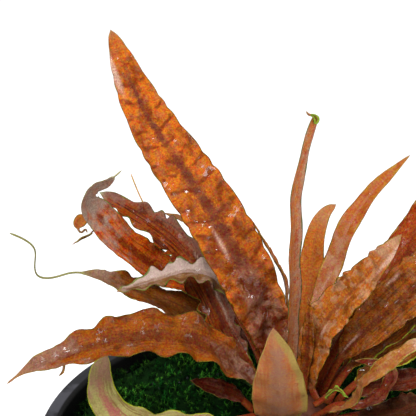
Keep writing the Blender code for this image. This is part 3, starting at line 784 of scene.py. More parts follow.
def pot_material(settings):
    """Plastic with dark scuffs on its lip, and painted shade: black on the inner wall."""
    material, t, shader = new_material("pot_plastic", roughness=0.5, specular_ior_level=0.22)
    shown = mottled(t, settings.plastic, settings.scuffs, 90.0, 0.56, 0.06)
    place = t.place()
    height = t.split(place)["Z"]
    wall = height * ((wall_radius(RIM) - wall_radius(0)) / RIM) + wall_radius(0)
    # Painted shade: black on the inner wall and the inside of the floor, fading out just beyond
    # the wall
    inside = t.ramp(t.radius(place) - wall, *INNER_SHADE_FADE, 1, 0)
    inside = inside * t.math("GREATER_THAN", height, POT_FLOOR / 2)
    low, high = (RIM - below for below in SCUFFS_BELOW_RIM)
    colour = t.mix(t.ramp(height, low, high, 0.12, 1), opaque(settings.plastic), shown["Color"])
    colour = t.mix(inside, colour, opaque(PAINTED_INNER_SHADE))
    feed(t, shader, base_color=colour, normal=t.bump(shown["Height"], 0.15 * MM))
    return material


def skin_material(name):
    """The material of a leaf's skin, made once and shared by the leaves that have it."""
    if name in bpy.data.materials:
        return bpy.data.materials[name]
    material, t, shader = new_material(name, coat_roughness=0.09, coat_ior=1.4, ior=1.45,
                                       specular_ior_level=0.06)
    given = {}
    for field in fields(Skin):
        value = getattr(SKINS[name], field.name)
        given[socket_label(field.name)] = opaque(value) if field.type is tuple else value
    shown = t.node("ShaderNodeGroup", given, node_tree=leaf_skin_group())
    feed(t, shader, base_color=shown["Color"], roughness=shown["Roughness"],
         coat_weight=shown["Wet"], normal=t.bump(shown["Height"], 0.25 * MM))
    return material


def moss_material(name, tip, foot):
    """Shoots dark at the foot and bright at the tip, each of its own tint, with painted shade
    darkening them at the wall.
    """
    material, t, shader = new_material(name, roughness=0.8, specular_ior_level=0.03)
    colour = t.mix(t.ramp(t.attribute("rise"), 0.1, 1.0), opaque(foot), opaque(tip))
    place = t.place()
    patch = t.ramp(t.noise(place, 130.0, 3), 0.40, 0.60, 0.45, 1.35)
    # Painted shade: the moss darkens towards the pot's wall
    patch = patch * t.ramp(t.radius(place), *MOSS_SHADOW, 1, 0.12)
    tint = t.attribute("tint")
    value = t.ramp(tint, 0, 1, 0.3, 1.6) * patch
    feed(t, shader, base_color=t.tinted(colour, t.ramp(tint, 0, 1, 0.52, 0.47), value))
    return material


def scatter_tree():
    """Geometry nodes that scatter the pieces of a collection over a surface."""
    name = "scatter_over_surface"
    if name in bpy.data.node_groups:
        return bpy.data.node_groups[name]
    inputs = [("Surface", "Geometry", None), ("Pieces", "Collection", None),
              ("Density", "Float", 1000.0), ("Smallest", "Float", 0.8), ("Largest", "Float", 1.2),
              ("Lean", "Float", 0.4), ("Seed", "Int", 1), ("Material", "Material", None)]
    tree, t = new_tree(name, "GeometryNodeTree", inputs, [("Mesh", "Geometry")])
    given = t.node("NodeGroupInput")
    points = t.node("GeometryNodeDistributePointsOnFaces",
                    {"Mesh": given["Surface"], "Density": given["Density"] * t.named("growth"),
                     "Seed": given["Seed"]})
    lean, back = given["Lean"], given["Lean"] * -1.0
    low = t.node("ShaderNodeCombineXYZ", {0: back, 1: back})[0]
    high = t.node("ShaderNodeCombineXYZ", {0: lean, 1: lean, 2: FULL_TURN})[0]
    turn = t.random("FLOAT_VECTOR", low, high, 11)
    turn = t.node("FunctionNodeEulerToRotation", {0: turn})[0]
    turned = t.node("FunctionNodeRotateRotation", {0: points["Rotation"], 1: turn},
                    rotation_space="LOCAL")[0]
    pieces = t.node("GeometryNodeCollectionInfo", {"Collection": given["Pieces"],
                                                   "Separate Children": True,
                                                   "Reset Children": True})[0]
    placed = t.node("GeometryNodeInstanceOnPoints", {
        "Points": points["Points"], "Instance": pieces, "Pick Instance": True,
        "Instance Index": t.random("INT", 0, 100, 37), "Rotation": turned,
        "Scale": t.random("FLOAT", given["Smallest"], given["Largest"], 23)})[0]
    tinted = t.node("GeometryNodeStoreNamedAttribute",
                    {"Geometry": placed, "Name": "tint", "Value": t.random("FLOAT", 0.0, 1.0, 41)},
                    data_type="FLOAT", domain="INSTANCE")[0]
    t.end(tinted, given["Material"])
    return tree


def relief_tree():
    """Geometry nodes that crumple a leaf's two faces together and raise small blisters."""
    name = "leaf_relief"
    if name in bpy.data.node_groups:
        return bpy.data.node_groups[name]
    inputs = [("Leaf", "Geometry", None), ("Crumple", "Float", 0.3 * MM),
              ("Base Crumple", "Float", 0.3 * MM), ("Ripple", "Float", 0.1 * MM),
              ("Blister", "Float", 0.3 * MM), ("Material", "Material", None)]
    tree, t = new_tree(name, "GeometryNodeTree", inputs, [("Mesh", "Geometry")])
    given = t.node("NodeGroupInput")
    flat = t.named("flat", "FLOAT_VECTOR")
    place = t.split(flat)
    amount = t.ramp(t.named("along"), 0.15, 0.42, given["Base Crumple"], given["Crumple"])
    crumple = (t.noise(flat, 0.24, 2, 0.55) - 0.5) * 2.4 * amount
    phase = place["Y"] + abs(place["X"]) * 0.6 + t.noise(flat, 0.3, 1) * 5.0
    ripple = t.math("SINE", phase * 2.4) * abs(t.named("across")) * given["Ripple"]
    distance, lottery = t.cells(flat, 1 / BLISTER_PITCH, 0.9)
    dome = t.ramp(distance, 0.02, 0.34, 1, 0) * t.math("GREATER_THAN", lottery, 0.45)
    height = (crumple + ripple + dome * given["Blister"]) * t.named("blade")
    lift = t.node("ShaderNodeVectorMath", {0: t.named("lift", "FLOAT_VECTOR"), 3: height},
                  operation="SCALE")[0]
    moved = t.node("GeometryNodeSetPosition", {"Geometry": given["Leaf"], "Offset": lift})[0]
    t.end(moved, given["Material"])
    return tree


def grow(obj, tree, **values):
    """Puts a geometry tree on an object with its inputs by name, and bakes the result."""
    modifier = obj.modifiers.new(tree.name, "NODES")
    modifier.node_group = tree
    for item in tree.interface.items_tree:
        label = item.name.lower().replace(" ", "_")
        if item.in_out == "INPUT" and label in values:
            modifier[item.identifier] = values[label]
    bake(obj)


def bake(obj):
    """Swaps an object's mesh for its evaluated one and drops its modifiers."""
    depsgraph = bpy.context.evaluated_depsgraph_get()
    mesh = bpy.data.meshes.new_from_object(obj.evaluated_get(depsgraph))
    old = obj.data
    obj.modifiers.clear()
    obj.data = mesh
    mesh.name = obj.name
    bpy.data.meshes.remove(old)


def link_new(name, mesh, collection=None):
    obj = bpy.data.objects.new(name, mesh)
    (collection or bpy.context.scene.collection).objects.link(obj)
    return obj


def mesh_from(name, points, faces):
    """A smooth mesh with its faces turned outwards."""
    mesh = bpy.data.meshes.new(name)
    mesh.from_pydata([tuple(point) for point in points], [], faces)
    work = bmesh.new()
    work.from_mesh(mesh)
    bmesh.ops.recalc_face_normals(work, faces=work.faces[:])
    work.to_mesh(mesh)
    work.free()
    mesh.shade_smooth()
    return mesh


def ring_faces(rings, around, poles=(), closed=False):
    """Faces between rings of points; a pole is a ring's number and the point that it ends in."""
    corners = np.arange(rings * around).reshape(rings, around)
    following = np.roll(corners, -1, axis=1)
    if closed:
        corners, following = (np.concatenate([row, row[:1]]) for row in (corners, following))
    quads = np.stack([corners[:-1], following[:-1], following[1:], corners[1:]], axis=-1)
    faces = quads.reshape(-1, 4).tolist()
    for ring, point in poles:
        faces += [[a, b, point] for a, b in zip(corners[ring], following[ring])]
    return faces


def set_attribute(mesh, name, values, kind="FLOAT"):
    made = mesh.attributes.new(name, kind, "POINT")
    key = "vector" if kind == "FLOAT_VECTOR" else "value"
    made.data.foreach_set(key, np.asarray(values, np.float32).ravel())


def vertex_places(mesh):
    places = np.empty(len(mesh.vertices) * 3, np.float32)
    mesh.vertices.foreach_get("co", places)
    return places.reshape(-1, 3).astype(float)


def move_vertices(mesh, places):
    mesh.vertices.foreach_set("co", places.astype(np.float32).ravel())
    mesh.update()


def finish_piece(obj, slot, *nodes):
    """Fixes a piece to the root and hides the solids it replaces. Its slot is not used."""
    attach(obj, "root")
    if nodes:
        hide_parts(*nodes)


def natural_spline(points, dense=200):
    """The smooth curve through the given points, and its running length."""
    points = np.array(points, float)
    steps = np.linalg.norm(np.diff(points, axis=0), axis=1)
    knots = np.concatenate([[0], np.cumsum(steps)])
    slopes = np.diff(points, axis=0) / steps[:, None]
    count = len(points)
    system = np.eye(count)
    right = np.zeros((count, 3))
    for i in range(1, count - 1):
        system[i, i - 1:i + 2] = steps[i - 1], 2 * (steps[i - 1] + steps[i]), steps[i]
        right[i] = 6 * (slopes[i] - slopes[i - 1])
    bend = np.linalg.solve(system, right)
    fine = np.linspace(0, knots[-1], dense * count)
    i = np.clip(np.searchsorted(knots, fine, side="right") - 1, 0, count - 2)
    width = steps[i][:, None]
    b = (fine - knots[i])[:, None] / width
    a = 1 - b
    part = (a ** 3 - a) * bend[i] + (b ** 3 - b) * bend[i + 1]
    curve = a * points[i] + b * points[i + 1] + part * width ** 2 / 6
    run = np.concatenate([[0], np.cumsum(np.linalg.norm(np.diff(curve, axis=0), axis=1))])
    return curve, run


def crown_height(radius):
    """Height of the dome of seats above the pot's rim, at a distance from its middle."""
    bulge = math.sqrt(max(0, 1 - (radius / CROWN_RADIUS) ** 2))
    return CROWN_TOP - CROWN_DOME + CROWN_DOME * bulge


def seat_point(leaf):
    """Where a leaf's stalk begins, just clear of the crown's dome."""
    turn, tilt = (math.radians(angle) for angle in leaf.seat)
    sideways = math.sin(tilt)
    bulge = np.array([math.cos(turn) * sideways, math.sin(turn) * sideways, math.cos(tilt)])
    radius = CROWN_RADIUS * sideways
    seat = np.array([*CROWN_CENTRE, RIM + crown_height(radius)])
    seat[:2] += radius * bulge[:2] / max(sideways, 1e-9)
    return seat + SEAT_GAP * bulge


def midrib(leaf):
    """Centre line of a leaf, from its seat on the crown to its tip."""
    heading = math.radians(leaf.heading)
    out = np.array([math.cos(heading), math.sin(heading), 0])
    left = np.array([-math.sin(heading), math.cos(heading), 0])
    up = np.array([0, 0, 1.0])
    crown = np.array([*CROWN_CENTRE, RIM])
    points = [] if leaf.grows_on else [seat_point(leaf)]
    for reach, height, *side in leaf.path:
        sideways = side[0] if side else 0
        points.append(crown + MM * (reach * out + sideways * left + height * up))
    return natural_spline(points)


def carried_frames(line, heading):
    """Left and upper directions, carried along the line without a twist."""
    tangents = np.gradient(line, axis=0)
    tangents /= np.linalg.norm(tangents, axis=1)[:, None]
    angle = math.radians(heading)
    left = np.array([-math.sin(angle), math.cos(angle), 0])
    lefts = []
    for tangent in tangents:
        left = left - tangent * (left @ tangent)
        left /= np.linalg.norm(left)
        lefts.append(left)
    lefts = np.array(lefts)
    return lefts, np.cross(tangents, lefts)


def blade_shape(share, leaf):
    """Half width of the blade in parts of its widest, at shares of the leaf's length."""
    along = np.clip((share - leaf.stalk) / (1 - leaf.stalk - leaf.tail), 0, 1)
    rising = leaf.taper * leaf.belly
    falling = leaf.taper * (1 - leaf.belly)
    widest = leaf.belly ** rising * (1 - leaf.belly) ** falling
    return along ** rising * (1 - along) ** falling / widest


def core_shape(share, leaf):
    """Thickness of the round core: all of the stalk's at first, a thread's past the middle."""
    middle = (leaf.stalk + 1 - leaf.tail) / 2
    value = np.clip((share - middle) / 0.3 + 0.5, 0, 1)
    past_middle = 1 if leaf.grows_on else value * value * (3 - 2 * value)
    return 1 - (1 - THREAD) * past_middle


def margin_lobes(share, u, leaf):
    """Lobes along the two margins, uneven in width, from -1 to 1; the sharper, the narrower."""
    phase = leaf.heading * 0.7 + np.where(u > 0, 0, LOBE_LAG)
    uneven = 0.9 * np.sin(FULL_TURN * 0.31 * leaf.frills * share + 2.3 * phase)
    lobes = np.abs(np.sin(math.pi * leaf.frills * share + phase + uneven))
    return 2 * lobes ** leaf.sharp - 1


def fold_gleam(run, across, leaf):
    """How much painted highlight the leaf's folds get at places along it and across it, in
    millimetres.
    """
    gleam = np.zeros_like(across)
    for at, beside, long, wide in leaf.gleams:
        away = ((run - at) / long) ** 2 + ((across - beside) / wide) ** 2
        gleam = np.maximum(gleam, np.exp(-away ** 2))
    return gleam


def leaf_sections(leaf, share, line, length, columns):
    """Rings of points round a leaf, with what the skin and the relief read at each point.

    A ring runs over the upper face, u from 1 at its left margin to -1 at its right, and back
    under the lower one.
    """
    left, upper = carried_frames(line, leaf.heading)
    turn = np.radians(leaf.roll[0] + (leaf.roll[1] - leaf.roll[0]) * share)[:, None]
    side = np.cos(turn) * left + np.sin(turn) * upper
    face = np.cos(turn) * upper - np.sin(turn) * left
    top = np.linspace(1, -1, columns)
    u = np.concatenate([top, -top[1:-1]])[None, :]
    under = np.concatenate([np.zeros(columns), np.ones(columns - 2)])[None, :]
    s = share[:, None]
    run = s * length
    shape = blade_shape(s, leaf)
    blade = np.clip(shape * BLADE_SHOULDER, 0, 1)
    core = core_shape(s, leaf)
    stalk_half = STALK_HALF_WIDTH * core * (1 + STALK_FLARE * np.exp(-run / FLARE_LENGTH))
    lobes = margin_lobes(s, u, leaf)
    blade_half = shape * leaf.width * MM / 2 * (1 + leaf.frill * lobes)
    half = (blade_half ** 4 + stalk_half ** 4) ** 0.25
    across = u * half

    fold = np.radians(leaf.fold) * blade
    lowest, highest = math.sqrt(FOLD_SOFTNESS), math.sqrt(1 + FOLD_SOFTNESS)
    cup = (np.sqrt(u ** 2 + FOLD_SOFTNESS) - lowest) / (highest - lowest)
    lag = np.where(u < 0, RUFFLE_LAG, 0)
    ruffle = leaf.wave * MM * shape * np.sin(FULL_TURN * leaf.waves * s + lag)
    flutter = leaf.frill * FLUTTER * blade_half * lobes
    lifted = half * np.sin(fold) * cup + ruffle * np.abs(u) ** 1.4 + flutter * np.abs(u) ** 5
    rounded = core * np.sqrt(1 - u ** 2)
    thin = BLADE_HALF_THICKNESS * (1 - u ** 8)
    rib = np.exp(-(across / RIB_HALF_WIDTH) ** 2) * (1 - 0.7 * s)
    rise = (1 - blade) * STALK_RISE * rounded + blade * (thin - RIB_GROOVE * rib)
    keel = (1 - blade) * STALK_KEEL * rounded + blade * (thin + RIB_KEEL * rib)
    closing = np.sqrt(np.clip((1 - s) * length / TIP_LENGTH, 0, 1))
    out = across * np.cos(fold) * closing
    lifted = (lifted + np.where(under > 0, -keel, rise)) * closing
    points = line[:, None] + side[:, None] * out[..., None] + face[:, None] * lifted[..., None]

    ones = np.ones_like(across)
    read = {
        "across": u * ones,
        "along": s * ones,
        "blade": blade * ones,
        "under": under * ones,
        "edge": (half - np.abs(across)) / MM,
        "gleam": fold_gleam(run / MM, across / MM, leaf) * (1 - under),
        "flat": np.stack([across / MM, run / MM * ones, leaf.heading * 3.7 * ones], axis=-1),
        "lift": face[:, None] * (closing * ones)[..., None],
    }
    return points, read


def leaf_mesh(leaf, pitch):
    """A closed leaf: its rings of points, a flat base and a pointed tip."""
    curve, run = midrib(leaf)
    length = run[-1]
    rows = max(FEWEST_ROWS, round(length / pitch))
    share = np.linspace(0, 1, rows + 1)
    line = np.stack([np.interp(share * length, run, curve[:, k]) for k in range(3)], axis=1)
    columns = 2 * max(4, round(leaf.width * MM / pitch / 2)) + 1
    points, read = leaf_sections(leaf, share, line, length, columns)
    around = points.shape[1]
    faces = ring_faces(rows, around, poles=((-1, rows * around), (0, rows * around + 1)))
    points = np.concatenate([points[:rows].reshape(-1, 3), line[[-1, 0]]])
    mesh = mesh_from(leaf.name, points, faces)
    for name, values in read.items():
        wide = values.shape[2:]
        ends = np.stack([values[rows, 0], values[0, 0]])
        values = np.concatenate([values[:rows].reshape(-1, *wide), ends])
        set_attribute(mesh, name, values, "FLOAT_VECTOR" if wide else "FLOAT")
    return mesh


def turned_mesh(name, profile, steps):
    """A closed solid of revolution: profile points (radius, height) from axis to axis."""
    angles = np.arange(steps) * FULL_TURN / steps
    inner = np.array(profile[1:-1])
    radii, heights = inner[:, :1], inner[:, 1:]
    rings = np.stack([radii * np.cos(angles), radii * np.sin(angles),
                      heights + 0 * angles], axis=-1)
    ends = [[0, 0, profile[0][1]], [0, 0, profile[-1][1]]]
    first = len(inner) * steps
    faces = ring_faces(len(inner), steps, poles=((0, first), (-1, first + 1)))
    return mesh_from(name, np.concatenate([rings.reshape(-1, 3), ends]), faces)


def corner_arc(centre, radius, start, end, steps):
    """Points (radius, height) round a corner, angles in degrees."""
    angles = np.radians(np.linspace(start, end, steps))
    return [(centre[0] + radius * math.cos(a), centre[1] + radius * math.sin(a)) for a in angles]


def wall_radius(height):
    """Inner radius of the pot's tapered wall at a height."""
    return BASE_RADIUS - WALL + (MOUTH_RADIUS - BASE_RADIUS + WALL) * height / RIM


def pot_profile(lip_round):
    """The pot's section from the inside of its floor, over the lip and down to its foot."""
    collar = RIM - LIP_DROP
    flat = wall_radius(POT_FLOOR) - FLOOR_ROUND
    inside = np.linspace(POT_FLOOR + 2 * FLOOR_ROUND, RIM - CORNER_ROOM, 12)
    chamfer = (MOUTH_RADIUS + MOUTH_CHAMFER, RIM - MOUTH_CHAMFER)
    edge = (LIP_RADIUS - LIP_TAPER - COLLAR_ROUND, collar + COLLAR_ROUND)
    outside = np.linspace(collar - COLLAR_STEP, CORNER_ROOM, 16)
    return [
        (0, POT_FLOOR),
        (flat, POT_FLOOR),
        *corner_arc((flat, POT_FLOOR + FLOOR_ROUND), FLOOR_ROUND, -80, -5, 5),
        *[(wall_radius(height), height) for height in inside],
        (MOUTH_RADIUS, RIM - MOUTH_CHAMFER),
        *corner_arc(chamfer, MOUTH_CHAMFER, 165, 95, 6),
        (MOUTH_RADIUS + LIP_INNER_EDGE, RIM - LIP_SLOPE),
        (LIP_RADIUS - LIP_OUTER_EDGE, RIM),
        *corner_arc((LIP_RADIUS - lip_round, RIM - lip_round), lip_round, 88, 5, 7),
        (LIP_RADIUS - LIP_TAPER / 2, RIM - LIP_DROP / 2),
        *corner_arc(edge, COLLAR_ROUND, 0, -90, 4),
        (wall_radius(collar) + WALL + COLLAR_FILLET, collar),
        *[(wall_radius(height) + WALL, height) for height in outside],
        *corner_arc((BASE_RADIUS - FOOT_ROUND, FOOT_ROUND), FOOT_ROUND, -5, -85, 5),
        (BASE_RADIUS - FOOT_WIDTH, 0),
        (0, 0),
    ]


def cut_drain_holes(pot):
    """Cuts a ring of round holes through the pot's floor."""
    profile = [(0, -CUTTER_REACH), (DRAIN_RADIUS, -CUTTER_REACH), (DRAIN_RADIUS, CUTTER_REACH),
               (0, CUTTER_REACH)]
    cutters = []
    for i in range(DRAIN_HOLES):
        angle = FULL_TURN * i / DRAIN_HOLES
        mesh = turned_mesh("drain_cutter", profile, DRAIN_STEPS)
        mesh.transform(Matrix.Translation((DRAIN_RING * math.cos(angle),
                                           DRAIN_RING * math.sin(angle), 0)))
        cutter = link_new("drain_cutter", mesh)
        modifier = pot.modifiers.new("drain", "BOOLEAN")
        modifier.operation = "DIFFERENCE"
        modifier.solver = "EXACT"
        modifier.object = cutter
        cutters.append(cutter)
    bake(pot)
    for cutter in cutters:
        bpy.data.meshes.remove(cutter.data)


def roughen(mesh, above, height):
    """Moves the points above a height up and down, as crumbs lie."""
    places = vertex_places(mesh)
    x, y = places[:, 0] / (2 * MM), places[:, 1] / (2 * MM)
    bumps = np.sin(x + 2 * np.sin(y)) * np.cos(y * 1.3 + np.sin(x * 1.7))
    places[:, 2] += np.where(places[:, 2] > above, height * bumps, 0)
    move_vertices(mesh, places)


def lump(x, y):
    """Height of the moss's broad lumps at a place, in parts of the lump height."""
    broad = np.sin(x / BROAD_LUMPS + 1) * np.cos(y / BROAD_LUMPS)
    fine = np.sin((x + y) / FINE_LUMPS + 2) * np.sin((x - y) / FINE_LUMPS)
    return broad + FINE_SHARE * fine


def moss_bed_mesh(name, sink):
    """The ring of moss, sunk by the height of its shoots, and 1 for each point of its top."""
    hole = CROWN_RADIUS + 2 * GAP
    top = RIM + MOSS_TOP - sink
    foot = MOSS_LOW.z
    angles = np.arange(MOSS_STEPS) * FULL_TURN / MOSS_STEPS
    inner = hole + 0.2 * MM
    radii = np.linspace(inner, MOSS_RADIUS, MOSS_RINGS)
    edge = np.sqrt((MOSS_RADIUS - radii) / MOSS_EDGE).clip(0, 1)
    heights = foot + (top - foot) * (0.6 + 0.4 * edge)
    profile = np.array([(inner, foot), *zip(radii, heights), (MOSS_RADIUS - 0.5 * MM, foot)])
    radius, height = profile[:, :1], profile[:, 1:]
    x, y = radius * np.cos(angles), radius * np.sin(angles)
    away = (radius - hole) / (MOSS_RADIUS - hole)
    widen = 1 + LOBE_SHARE * away * np.sin(EDGE_LOBES * np.arctan2(y, x) + 1)
    x = CROWN_CENTRE[0] * (1 - away) + x * widen
    y = CROWN_CENTRE[1] * (1 - away) + y * widen
    high = np.clip((height - foot) / (top - foot), 0, None)
    clumps = np.sin(x / (1.7 * MM) + 2 * np.sin(y / (2.9 * MM))) * np.sin(y / (1.9 * MM))
    z = height + high * (LUMP * lump(x, y) + CLUMP * clumps)
    points = np.stack([x, y, z], axis=-1).reshape(-1, 3)
    mesh = mesh_from(name, points, ring_faces(len(profile), MOSS_STEPS, closed=True))
    return mesh, np.repeat(high[:, 0] > 0.1, MOSS_STEPS).astype(float)


def spike(points, faces, rise, root, tip, width, flat):
    """Adds a closed leaflet: a thin pyramid on a triangle, from its root to its tip."""
    along = (tip - root).normalized()
    side = along.cross(Vector((0, 0, 1)))
    if side.length < 0.1:
        side = Vector((1, 0, 0))
    side.normalize()
    over = along.cross(side)
    first = len(points)
    points += [root + side * width, root - side * width, root + over * width * flat, tip]
    rise += [root.z, root.z, root.z, tip.z]
    faces += [(first, first + 2, first + 1), (first, first + 1, first + 3),
              (first + 1, first + 2, first + 3), (first + 2, first, first + 3)]


def shoot_mesh(name, random, height, leaflets, length, width):
    """One moss shoot: a bent stem with leaflets that spread from it all the way up."""
    points, faces, rise = [], [], []
    lean = Vector((random.uniform(-0.4, 0.4), random.uniform(-0.4, 0.4), 1))
    bend = Vector((random.uniform(-0.35, 0.35), random.uniform(-0.35, 0.35), 0))

    def stem(share):
        return lean * (height * share) + bend * (height * share ** 2)

    for i in range(3):
        spike(points, faces, rise, stem(i / 3), stem((i + 1.25) / 3), width * (1 - 0.2 * i), 1)
    for i in range(leaflets):
        share = 0.15 + 0.8 * (i + random.uniform(0, 0.6)) / leaflets
        turn = 2.4 * i + random.uniform(-0.5, 0.5)
        out = Vector((math.cos(turn), math.sin(turn), random.uniform(0.35, 1.3))).normalized()
        reach = length * random.uniform(0.6, 1.15) * (1.15 - 0.5 * share)
        root = stem(share)
        spike(points, faces, rise, root, root + out * reach, width, 0.45)
    mesh = mesh_from(name, points, faces)
    mesh.shade_flat()
    set_attribute(mesh, "rise", np.clip(np.array(rise) / height, 0, 1))
    return mesh


def pebble_mesh(name, random, size):
    """A small angular stone: a ball with its corners moved about."""
    work = bmesh.new()
    bmesh.ops.create_icosphere(work, subdivisions=1, radius=size)
    for vertex in work.verts:
        vertex.co *= random.uniform(0.72, 1.15)
        vertex.co.z *= 0.75
    mesh = bpy.data.meshes.new(name)
    work.to_mesh(mesh)
    work.free()
    mesh.shade_flat()
    return mesh


def scatter(name, surface, growth, templates, material, **values):
    """Scatters template meshes over a copy of a surface and returns them as one piece."""
    holder = bpy.data.collections.new(name + "_templates")
    bpy.context.scene.collection.children.link(holder)
    for mesh in templates:
        link_new(mesh.name, mesh, holder)
    ground = surface.copy()
    set_attribute(ground, "growth", growth)
    obj = link_new(name, ground)
    grow(obj, scatter_tree(), pieces=holder, material=material, **values)
    for template in list(holder.objects):
        bpy.data.meshes.remove(template.data)
    bpy.data.collections.remove(holder)
    return obj


class PotSettings(PropertyGroup):
    lip_round: FloatProperty(
        name="Lip Rounding", description="Radius of the lip's outer corner",
        default=0.9 * MM, min=0.3 * MM, max=1.5 * MM, unit="LENGTH", precision=4)
    plastic: FloatVectorProperty(
        name="Plastic", description="Colour of the pot where it catches the light",
        default=(0.046, 0.046, 0.055), min=0, max=1, size=3, subtype="COLOR")
    scuffs: FloatVectorProperty(
        name="Scuffs", description="Colour of the dark blotches on the pot's lip",
        default=(0.014, 0.014, 0.017), min=0, max=1, size=3, subtype="COLOR")


class MossSettings(PropertyGroup):
    shoot_height: FloatProperty(
        name="Shoot Height", description="Height of a shoot above the bed of moss",
        default=2.6 * MM, min=1 * MM, max=4 * MM, unit="LENGTH", precision=4)
    density: FloatProperty(
        name="Shoots", description="Shoots of each kind per square metre",
        default=330000, min=10000, max=400000)
    tip: FloatVectorProperty(
        name="Tips", description="Colour of the shoots' tips",
        default=(0.020, 0.140, 0.012), min=0, max=1, size=3, subtype="COLOR")
    foot: FloatVectorProperty(
        name="Feet", description="Colour of the shoots' feet",
        default=(0.0006, 0.005, 0.0008), min=0, max=1, size=3, subtype="COLOR")
    seed: IntProperty(name="Seed", description="Seed of the shoots' places", default=7, min=0)


class LeafSettings(PropertyGroup):
    pitch: FloatProperty(
        name="Seen Pitch", description="Spacing of the points on the leaves in view",
        default=0.5 * MM, min=0.3 * MM, max=3 * MM, unit="LENGTH", precision=4)
    hidden_pitch: FloatProperty(
        name="Hidden Pitch", description="Spacing of the points on the leaves out of view",
        default=0.8 * MM, min=0.3 * MM, max=3 * MM, unit="LENGTH", precision=4)
    ripple: FloatProperty(
        name="Ripple", description="Height of the crosswise ripples between the side veins",
        default=0.10 * MM, min=0, max=0.5 * MM, unit="LENGTH", precision=5)
    blister: FloatProperty(
        name="Blisters", description="Height of the raised spots on a leaf that has them",
        default=0.35 * MM, min=0, max=1 * MM, unit="LENGTH", precision=5)


class StageSettings(PropertyGroup):
    floor: FloatVectorProperty(
        name="Floor", description="Colour of the floor and the surroundings",
        default=(1.0, 1.0, 1.0), min=0, max=1, size=3, subtype="COLOR")
    ambient: FloatProperty(
        name="Ambient", description="Strength of the light from all around",
        default=0.55, min=0, max=3)
    key: FloatProperty(
        name="Key Light", description="Power of the large soft light", default=10.6,
        min=0, max=500, subtype="POWER")
    elevation: FloatProperty(
        name="Camera Elevation", description="How far down the camera looks",
        default=math.radians(26), subtype="ANGLE")
    eye: FloatVectorProperty(
        name="Camera Place", description="Place of the eye from the centre of the pot's rim",
        default=(-19.14 * MM, -380.4 * MM, 246.5 * MM), size=3, subtype="TRANSLATION",
        unit="LENGTH", precision=4)
    lens: FloatProperty(
        name="Camera Lens", description="Focal length of the camera in millimetres",
        default=162.8, min=20, max=400)


class PLANT_OT_pot(Operator):
    """Builds the black nursery pot with its rolled lip and drain holes"""
    bl_idname = "plant.pot"
    bl_label = "Pot"

    def execute(self, context):
        settings = context.scene.plant_pot
        mesh = turned_mesh("nursery_pot", pot_profile(settings.lip_round), POT_STEPS)
        pot = link_new("nursery_pot", mesh)
        cut_drain_holes(pot)
        pot.data.materials.clear()
        pot.data.materials.append(pot_material(settings))
        finish_piece(pot, NODE_SLOTS["pot"], "pot")
        return {"FINISHED"}


class PLANT_OT_soil(Operator):
    """Builds the potting mix and the crumbs on its open ring"""
    bl_idname = "plant.soil"
    bl_label = "Soil"

    def execute(self, context):
        slot = NODE_SLOTS["soil"]
        top = SOIL_HIGH.z - SOIL_SINK
        foot = SOIL_LOW.z
        sides = [(wall_radius(h) - GAP, h) for h in np.linspace(foot, top, 8)]
        surface = [(r, top) for r in np.linspace(wall_radius(top) - 1.2 * MM, 1 * MM, 40)]
        mesh = turned_mesh("potting_soil", [(0, foot), *sides, *surface, (0, top)], ROUND_STEPS)
        roughen(mesh, top - 0.1 * MM, 0.5 * MM)
        soil = link_new("potting_soil", mesh)
        material = mottled_material("soil_damp", (0.004, 0.0035, 0.003), (0.012, 0.010, 0.008),
                                    400, roughness=0.8)
        mesh.materials.append(material)
        finish_piece(soil, slot, "soil")

        random = Random(5)
        crumbs = [pebble_mesh(f"crumb_{i}", random, CRUMB_SIZE) for i in range(4)]
        x, y, z = vertex_places(mesh).T
        growth = ((z > top - 1 * MM) & (np.hypot(x, y) > MOSS_RADIUS - 5 * MM)).astype(float)
        grains = scatter("soil_crumbs", mesh, growth, crumbs, material, density=CRUMB_DENSITY,
                         smallest=0.4, largest=1.3, lean=1.5, seed=3)
        finish_piece(grains, slot)
        return {"FINISHED"}


class PLANT_OT_moss(Operator):
    """Builds the cushion of moss: its bed, two kinds of shoots, and the grit between them"""
    bl_idname = "plant.moss"
    bl_label = "Moss"

    def execute(self, context):
        settings = context.scene.plant_moss
        slot = NODE_SLOTS["moss"]
        height = settings.shoot_height
        mesh, upward = moss_bed_mesh("moss_bed", height + SHOOT_SINK)
        bed = link_new("moss_bed", mesh)
        mesh.materials.append(mottled_material("moss_dark", (0.002, 0.006, 0.002),
                                               (0.004, 0.016, 0.003), 500, roughness=0.9,
                                               specular_ior_level=0.02))
        finish_piece(bed, slot, "moss")

        random = Random(settings.seed)
        x, y, _ = vertex_places(mesh).T
        patches = 0.5 + 0.5 * np.sin(x / (5 * MM) + 2 * np.sin(y / (7 * MM)))
        fine = [shoot_mesh(f"fine_{i}", random, height * 0.8, 13, 1.1 * MM, 0.13 * MM)
                for i in range(5)]
        tall = [shoot_mesh(f"tall_{i}", random, height, 7, 1.7 * MM, 0.12 * MM)
                for i in range(5)]
        kinds = (
            ("moss_fine", fine, upward * (1.1 - 0.5 * patches), 1.0),
            ("moss_tall", tall, upward * (0.5 + 0.5 * patches), 0.8),
        )
        for i, (name, templates, growth, share) in enumerate(kinds):
            material = moss_material(name, settings.tip, settings.foot)
            shoots = scatter(name, mesh, growth, templates, material,
                             density=settings.density * share, smallest=0.65, largest=1.15,
                             lean=0.5, seed=settings.seed + i)
            finish_piece(shoots, slot)

        stones = [pebble_mesh(f"stone_{i}", random, STONE_SIZE) for i in range(5)]
        grit = mottled_material("moss_grit", (0.008, 0.010, 0.009), (0.05, 0.055, 0.055), 700,
                                balance=0.55, roughness=0.7, specular_ior_level=0.1)
        thin = 0.15 + 1.2 * np.sin(x / (9 * MM) + 1) * np.cos(y / (11 * MM))
        raised = mesh.copy()
        raised.transform(Matrix.Translation((0, 0, height * 0.45)))
        gravel = scatter("moss_gravel", raised, upward * np.clip(thin, 0.05, 1), stones, grit,
                         density=STONE_DENSITY, smallest=0.3, largest=0.9, lean=1.5, seed=9)
        finish_piece(gravel, slot)
        return {"FINISHED"}


